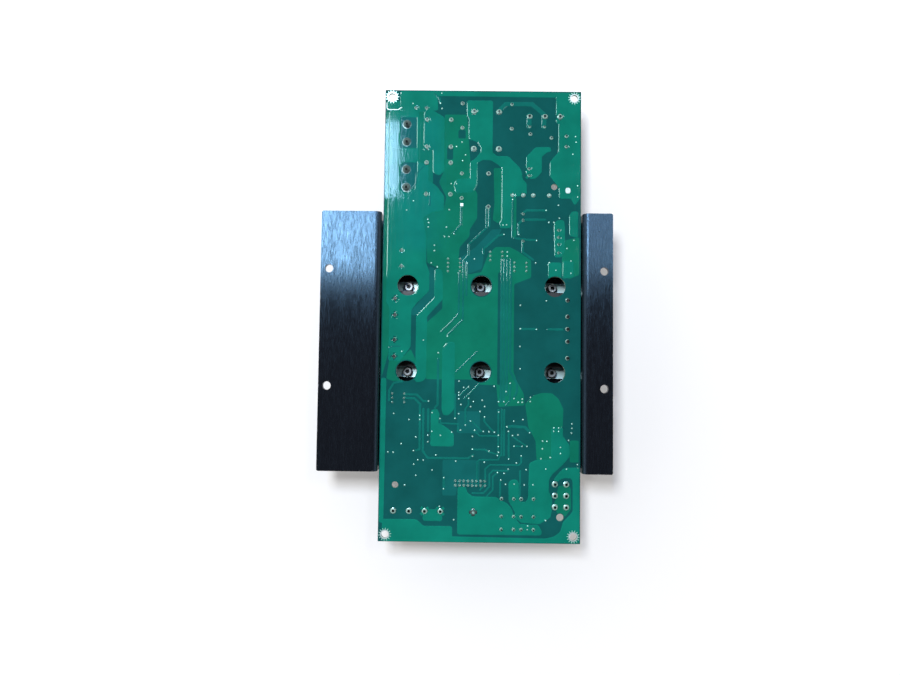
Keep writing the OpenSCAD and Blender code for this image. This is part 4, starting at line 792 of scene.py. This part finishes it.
# Holes that the copper keeps clear of, in millimetres of the part's frame
ACCESS_COLUMNS = (-45.3, 0.0, 45.3)
ACCESS_ROWS = (34.3, -18.4)
ACCESS_CLEAR = 6.9
PAD_CLEAR = 0.75
SPOKE_WIDTH = 0.7
SPOKE_OVERLAP = 0.3
RING_SIDES = 24
HOLE_SIDES = 36
CORNER_CLEAR = 3.2
# centre and clear radius of the three further holes
FURTHER_HOLES = [((44.5, 96.5), 2.3), ((-51.1, -87.3), 2.3), ((48.8, -105.6), 2.6)]

corner_mount = next(m for m in frame["record"]["mounts"] if m["name"] == "board_corner_holes")


def corner_places():
    """The four corner holes, in millimetres."""
    middle = Vector(corner_mount["pos_m"]) / MM
    half = [corner_mount["dims"][key] / 2 for key in ("spacing_x_mm", "spacing_y_mm")]
    return [Vector((middle.x + x * half[0], middle.y + y * half[1])) for x in (-1, 1) for y in (1, -1)]


def joint_rings():
    """A clear ring around each joint's pad, and the four spokes that cross it."""
    rings, spokes = [], []
    for centre, radius, _ in joints:
        middle = centre / MM
        reach = radius / MM + PAD_CLEAR
        rings.append(disc(middle, reach, RING_SIDES))
        for way in (Vector((1, 1)), Vector((-1, 1))):
            along = way.normalized() * (reach + SPOKE_OVERLAP)
            side = along.orthogonal().normalized() * SPOKE_WIDTH / 2
            a, b = middle + along, middle - along
            spokes.append(turned_left([a + side, b + side, b - side, a - side]))
    return rings, spokes


def inside(point, outline):
    """Whether a point lies in an outline."""
    hit = False
    for a, b in zip(outline, outline[1:] + outline[:1]):
        if (a.y > point.y) != (b.y > point.y):
            if point.x < a.x + (point.y - a.y) * (b.x - a.x) / (b.y - a.y):
                hit = not hit
    return hit


def is_poured(point, pours, gaps):
    """Whether a point lies in one of the pours and in none of their gaps."""
    return any(inside(point, o) for o in pours) and not any(inside(point, o) for o in gaps)


def hole_clearances():
    """A round gap for each hole of the board that takes no lead."""
    holes = [((x, y), ACCESS_CLEAR) for x in ACCESS_COLUMNS for y in ACCESS_ROWS]
    holes += [(centre, CORNER_CLEAR) for centre in corner_places()]
    return [disc(Vector(centre), clear, HOLE_SIDES) for centre, clear in holes + FURTHER_HOLES]


def board_copper():
    """The copper of both sides that shows through the mask, and the tracks."""
    access = hole_clearances()
    near = [soft_outline(o) for o in NEAR_POURS]
    gaps = [soft_outline(o) for o in NEAR_GAPS]
    rings, spokes = joint_rings()
    joined = [s for s in spokes if is_poured(sum(s, Vector((0, 0))) / 4, near, gaps)]
    sheet_piece("near_copper", mask_near, "solder_mask", near, gaps + rings + access, solder_face,
                COPPER_RISE, joined, SHOULDER)
    far = [soft_outline(o) for o in FAR_POURS]
    gaps = [soft_outline(o) for o in FAR_GAPS]
    sheet_piece("far_copper", mask_far, "solder_mask", far, gaps + access, solder_face, FAR_RISE)
    dim = [soft_outline(o) for o in DIM_POURS]
    sheet_piece("meshed_copper", mask_dim, "solder_mask", dim, access, solder_face, MESHED_RISE)
    bars = [bar for width, *corners in TRACKS for bar in track(corners, width)]
    sheet_piece("tracks", mask_track, "solder_mask", bars, [], solder_face, TRACK_RISE,
                shoulder=TRACK_SHOULDER)


# The component side: its copper, lands and print

PRINTED_BOXES = (
    "input_terminal_block", "output_terminal_block", "film_capacitor_1", "film_capacitor_2",
    "film_capacitor_3", "safety_capacitor_1", "safety_capacitor_2", "varistor", "inrush_thermistor",
    "input_choke_1_bobbin", "input_choke_2_bobbin", "fuse_clips", "bridge_rectifier",
    "snubber_capacitor", "bias_transformer_bobbin", "converter_capacitor", "optocoupler_1",
    "optocoupler_2", "optocoupler_3", "driver_chip", "signal_header_shroud", "power_connector_housing",
    "output_capacitors", "converter_case",
)
PRINTED_ROUNDS = ("bulk_capacitor_1", "bulk_capacitor_2", "line_choke_core", "turret_post")
PRINT_WIDTH = 0.3
PRINT_MARGIN = 0.9
PART_LAND = 0.82


def component_side():
    """Copper, tinned lands and printed outlines on the side that the parts stand on."""
    access = hole_clearances()
    rings, _ = joint_rings()
    pours = [soft_outline(o) for o in FAR_POURS + DIM_POURS]
    gaps = [soft_outline(o) for o in FAR_GAPS]
    sheet_piece("part_side_copper", mask_near, "solder_mask", pours, gaps + rings + access, part_face,
                -COPPER_RISE, shoulder=SHOULDER)
    lands = [disc(centre / MM, radius / MM * PART_LAND, 20) for centre, radius, _ in joints]
    sheet_piece("part_side_lands", land_finish, "solder", lands, [], part_face, -LAND_RISE)
    lines = []
    for node in PRINTED_BOXES:
        low, high = (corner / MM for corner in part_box(node))
        left, right = low.x - PRINT_MARGIN, high.x + PRINT_MARGIN
        near_end, far_end = low.y - PRINT_MARGIN, high.y + PRINT_MARGIN
        loop = [(left, near_end), (right, near_end), (right, far_end), (left, far_end), (left, near_end)]
        lines += line([Vector(corner) for corner in loop], PRINT_WIDTH)
    for node in PRINTED_ROUNDS:
        low, high = (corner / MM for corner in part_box(node))
        loop = disc(((low + high) / 2).to_2d(), (high.x - low.x) / 2 + PRINT_MARGIN, 40)
        lines += line(loop + loop[:1], PRINT_WIDTH)
    lines = [kept for kept in lines if all(abs(p.x) * MM < board_high.x - 0.1 * MM for p in kept)]
    sheet_piece("part_side_print", print_finish, "chip_white", lines, access, part_face, -PRINT_RISE)


# Solder, grown on points by geometry nodes

def solder_mound_tree():
    """Nodes that put a mound of solder on each point, as wide as its reach and as tall as its rise."""
    tree = bpy.data.node_groups.new("solder_mounds", "GeometryNodeTree")
    tree.interface.new_socket("Geometry", in_out="INPUT", socket_type="NodeSocketGeometry")
    for label, kind, value in (("Sides", "Int", 16), ("Rings", "Int", 6), ("Neck", "Float", 0.36),
                               ("Hollow", "Float", 2.0), ("Sway", "Float", 0.12), ("Seed", "Int", SEED)):
        socket = tree.interface.new_socket(label, in_out="INPUT", socket_type="NodeSocket" + kind)
        socket.default_value = value
    tree.interface.new_socket("Geometry", in_out="OUTPUT", socket_type="NodeSocketGeometry")
    given = shader_node(tree, "NodeGroupInput").outputs
    cone = shader_node(tree, "GeometryNodeMeshCone", {
        "Vertices": given["Sides"], "Side Segments": given["Rings"], "Radius Top": given["Neck"],
        "Radius Bottom": 1.0, "Depth": 1.0})
    at = parts(tree, shader_node(tree, "GeometryNodeInputPosition").outputs[0])
    out = vector_node(tree, "LENGTH", vector_of(tree, at[0], at[1]))["Value"]
    share = math_node(tree, "DIVIDE", math_node(tree, "SUBTRACT", 1.0, out),
                      math_node(tree, "SUBTRACT", 1.0, given["Neck"]))
    height = math_node(tree, "POWER", math_node(tree, "MAXIMUM", share, 0.0), given["Hollow"])
    values = {"Geometry": cone.outputs["Mesh"], "Position": vector_of(tree, at[0], at[1], height)}
    mound = shader_node(tree, "GeometryNodeSetPosition", values)
    reach, rise = (
        shader_node(tree, "GeometryNodeInputNamedAttribute", {"Name": label},
                    data_type="FLOAT").outputs[0]
        for label in ("reach", "rise"))
    least = math_node(tree, "SUBTRACT", 1.0, given["Sway"])
    most = math_node(tree, "ADD", 1.0, given["Sway"])
    sway, turn = (
        shader_node(tree, "FunctionNodeRandomValue", {2: low, 3: high, 8: given["Seed"]},
                    data_type="FLOAT").outputs[1]
        for low, high in ((least, most), (0.0, math.tau)))
    tall = times(tree, rise, sway)
    spread = shader_node(tree, "GeometryNodeInstanceOnPoints", {
        "Points": given["Geometry"], "Instance": mound.outputs[0],
        "Rotation": vector_of(tree, z=turn), "Scale": vector_of(tree, reach, reach, tall)})
    real = shader_node(tree, "GeometryNodeRealizeInstances", {"Geometry": spread.outputs[0]})
    smooth = shader_node(tree, "GeometryNodeSetShadeSmooth", {"Geometry": real.outputs[0]})
    shader_node(tree, "NodeGroupOutput", {"Geometry": smooth.outputs[0]})
    return tree


def solder_piece(name, finish, tree, places, replaced=(), **sizes):
    """A piece of solder mounds, one for each place: its point, reach and rise in metres."""
    mesh = bpy.data.meshes.new(name + "_points")
    mesh.from_pydata([point for point, _, _ in places], [], [])
    for label, column in (("reach", 1), ("rise", 2)):
        attribute = mesh.attributes.new(label, "FLOAT", "POINT")
        attribute.data.foreach_set("value", [p[column] for p in places])
    carrier = put(name + "_points", mesh)
    grow = carrier.modifiers.new("grow", "NODES")
    grow.node_group = tree
    for socket in tree.interface.items_tree:
        if socket.name in sizes:
            grow[socket.identifier] = sizes[socket.name]
    graph = bpy.context.evaluated_depsgraph_get()
    made = bpy.data.meshes.new_from_object(carrier.evaluated_get(graph), depsgraph=graph)
    made.name = name
    bpy.data.objects.remove(carrier)
    add_piece(name, made, finish, replaced)


CONVERTER_PAD = 1.35 * MM
PAD_OVERLAP = 1.04


def pad_reach(centre, radius):
    """How far the solder of a joint reaches: less on the converter's pins than on their wide pads."""
    for node in ("converter_input_pins", "converter_output_pins"):
        low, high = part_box(node)
        if low.x < centre.x < high.x and low.y - MM < centre.y < high.y + MM:
            return CONVERTER_PAD
    return radius * PAD_OVERLAP


def solder():
    """A hollow fillet of solder on each lead, and a low dome on each via."""
    tree = solder_mound_tree()
    fillets = [(Vector((*centre, solder_face)), pad_reach(centre, radius), tall)
               for centre, radius, tall in joints]
    broad = [f for f in fillets if f[1] > BROAD_JOINT]
    plain = [f for f in fillets if f[1] <= BROAD_JOINT]
    solder_piece("solder_fillets", solder_finish, tree, plain, ["solder_joints"], Neck=0.34, Hollow=1.8,
                 Sides=20)
    solder_piece("stained_fillets", stained_finish, tree, broad, Neck=0.30, Hollow=2.6, Sides=28, Rings=9)
    domes = [(Vector((*(v * MM), solder_face)), VIA_RADIUS, VIA_RISE) for v in on_board(VIAS)]
    solder_piece("via_domes", via_finish, tree, domes, Neck=0.05, Hollow=0.5, Sides=10, Rings=3)


# Bare lands, and a painted highlight

LAND_REACH = (3.3, 2.8, 2.8, 2.8)
TOOTH_REACH = (4.2, 3.9, 3.9, 3.9)
LAND_SIDES = 40
HOLE_EASE = 0.05
TOOTH_START = 0.9
TOOTH_HALF = 0.16
TOOTH_FLARE = 1.8
TOOTH_MARKS = 14


def corner_lands():
    """Tinned rings around the four corner holes, and bright marks from the teeth of star washers."""
    hole = corner_mount["dims"]["hole_r_mm"]
    rings, holes, teeth = [], [], []
    for n, centre in enumerate(corner_places()):
        rings.append(disc(centre, LAND_REACH[n], LAND_SIDES))
        holes.append(disc(centre, hole + HOLE_EASE, LAND_SIDES))
        for tooth in range(TOOTH_MARKS):
            turn = math.tau * (tooth + 0.3 * n) / TOOTH_MARKS
            way = Vector((math.cos(turn), math.sin(turn)))
            side = way.orthogonal() * TOOTH_HALF
            a, b = centre + way * (hole + TOOTH_START), centre + way * TOOTH_REACH[n]
            flare = side * TOOTH_FLARE
            teeth.append(turned_left([a + flare, b + side, b - side, a - flare]))
    sheet_piece("corner_lands", land_finish, "solder", rings, holes, solder_face, LAND_RISE)
    sheet_piece("washer_marks", via_finish, "solder", teeth, [], solder_face, TOOTH_RISE)


BARE_SPOTS = [
    # centre, half width and half height on the grid
    ((112.1, 61.4), (1.5, 1.7)),
    ((47.6, 70.8), (0.9, 0.9)),
]
# Painted highlight: a bright line in land tin along the edge of a pour beside one corner hole, standing
# in for light caught on that edge
PAINTED_HIGHLIGHT_LINE = [1, 8, 1, 11.3, 2, 12.2, 8, 12.2, 9.5, 11]
PAINTED_HIGHLIGHT_LINE_WIDTH = 0.32


def bare_lands():
    """Tinned test lands without a lead, and a bright line in land tin beside one corner hole, which is a
    painted highlight along the edge of a pour.
    """
    outlines = []
    for (gx, gy), (wide, tall) in BARE_SPOTS:
        left, right, top, foot = gx - wide, gx + wide, gy - tall, gy + tall
        corners = [left, top, right, top, right, foot, left, foot]
        outlines.append(soft_outline(corners, 1.4 if wide > 1 else 0.3, 5))
    # The painted highlight along the edge of a pour, drawn in land tin
    outlines += track(PAINTED_HIGHLIGHT_LINE, PAINTED_HIGHLIGHT_LINE_WIDTH)
    sheet_piece("bare_lands", land_finish, "solder", outlines, [], solder_face, LAND_RISE)


board_copper()
component_side()
solder()
corner_lands()
bare_lands()


# Camera, light and floor

CAMERA_PLACE = Vector((-15.97, -19.28, 438.12)) * MM
CAMERA_FORWARD = Vector((-0.00703, 0.05221, -0.99861)).normalized()
CAMERA_UP = Vector((-0.01229, 0.99856, 0.05229))
SENSOR_WIDTH = 36.0
FOCAL_LENGTH = 27.04


def set_camera():
    """A camera above the board, where the photographer stood."""
    lens = bpy.data.cameras.new("camera")
    lens.sensor_width = SENSOR_WIDTH
    lens.lens = FOCAL_LENGTH
    camera = put("camera", lens)
    right = CAMERA_FORWARD.cross(CAMERA_UP).normalized()
    up = right.cross(CAMERA_FORWARD)
    turn = Matrix((right, up, -CAMERA_FORWARD)).transposed().to_4x4()
    camera.matrix_world = Matrix.Translation(CAMERA_PLACE) @ turn
    bpy.context.scene.camera = camera


WINDOW_TURN = math.radians(-7.8)
PANELS = [
    # name, place and size in metres, turn, power, tint
    ("window_upper", (-0.315, 0.455, 1.03), (0.24, 0.25), WINDOW_TURN, 6.4, (0.86, 0.94, 1.0)),
    ("window_sill", (-0.295, 0.26, 1.03), (0.20, 0.14), WINDOW_TURN, 3.9, (0.86, 0.94, 1.0)),
    ("window_side", (-0.163, 0.435, 1.03), (0.036, 0.165), 0.0, 2.0, (0.50, 0.67, 1.0)),
    ("window_sky", (-0.098, 0.385, 1.03), (0.10, 0.29), 0.0, 0.22, (0.02, 0.20, 1.0)),
    ("window_right", (0.33, 0.31, 1.03), (0.12, 0.24), 0.0, 1.1, (0.86, 0.94, 1.0)),
]


def soft_panel(name, place_m, size, turn, power, tint):
    """A rectangular soft light that shines straight down, turned about the upright axis."""
    lamp = bpy.data.lights.new(name, "AREA")
    lamp.shape = "RECTANGLE"
    lamp.size, lamp.size_y = size
    lamp.energy = power
    lamp.color = tint
    panel = put(name, lamp)
    panel.location = place_m
    panel.rotation_euler.z = turn


ROOM_STRENGTH = 1.18
WINDOW_WAY = (-0.57, 0.82, 0.0)
WALL_TONE = (0.98, 0.97, 0.95, 1)
CEILING_TONE = (0.045, 0.050, 0.056, 1)


def set_world():
    """A pale room with a dim ceiling, brighter on the side of the window."""
    world = bpy.data.worlds.new("pale_room")
    bpy.context.scene.world = world
    world.use_nodes = True
    tree = world.node_tree
    back = tree.nodes["Background"]
    way = shader_node(tree, "ShaderNodeTexCoord").outputs["Generated"]
    up = parts(tree, way)[2]
    colour = mixed(tree, remap(tree, up, 0.30, 0.72), WALL_TONE, CEILING_TONE)
    windowward = vector_node(tree, "DOT_PRODUCT", way, WINDOW_WAY)["Value"]
    leaning = times(tree, windowward, remap(tree, up, 0.12, 0.26))
    strength = remap(tree, leaning, -1.0, 1.0, ROOM_STRENGTH * 0.5, ROOM_STRENGTH * 1.5)
    feed(tree, back, Color=colour, Strength=strength)


FLOOR_HEIGHT = -0.05 * MM
FLOOR_SIZE = 6.0
FLOOR_LIFT = 0.20
FAR_FLOOR_LIFT = 0.85


def set_floor():
    """A wide pale floor under the heat sink, which can't be seen from below."""
    bm = bmesh.new()
    bmesh.ops.create_grid(bm, x_segments=8, y_segments=8, size=FLOOR_SIZE)
    mesh = mesh_of(bm, "floor")
    finish, tree, shader = new_finish("floor_white", Roughness=0.9, Specular_IOR_Level=0.1,
                                      Emission_Color=(1, 1, 1, 1))
    cloud = noise(tree, place(tree), 3, 2)
    colour = mixed(tree, cloud, (0.84, 0.79, 0.76, 1), (0.86, 0.81, 0.78, 1))
    seen = shader_node(tree, "ShaderNodeLightPath").outputs
    shown = math_node(tree, "MAXIMUM", seen["Is Camera Ray"], seen["Is Glossy Ray"])
    shown = math_node(tree, "MAXIMUM", shown, seen["Is Transmission Ray"])
    away = vector_node(tree, "LENGTH", place(tree))["Value"]
    lift = remap(tree, away, 0.12, 0.85, FLOOR_LIFT, FAR_FLOOR_LIFT)
    feed(tree, shader, Base_Color=colour, Emission_Strength=times(tree, shown, lift))
    under = shader_node(tree, "ShaderNodeNewGeometry").outputs["Backfacing"]
    clear = shader_node(tree, "ShaderNodeBsdfTransparent").outputs[0]
    both = shader_node(tree, "ShaderNodeMixShader", {0: under, 1: shader.outputs[0], 2: clear}).outputs[0]
    tree.links.new(both, tree.nodes["Material Output"].inputs["Surface"])
    mesh.materials.append(finish)
    floor = put("floor", mesh)
    floor.location.z = FLOOR_HEIGHT


set_camera()
for panel_values in PANELS:
    soft_panel(*panel_values)
set_world()
set_floor()
bpy.context.scene.view_settings.view_transform = "Standard"
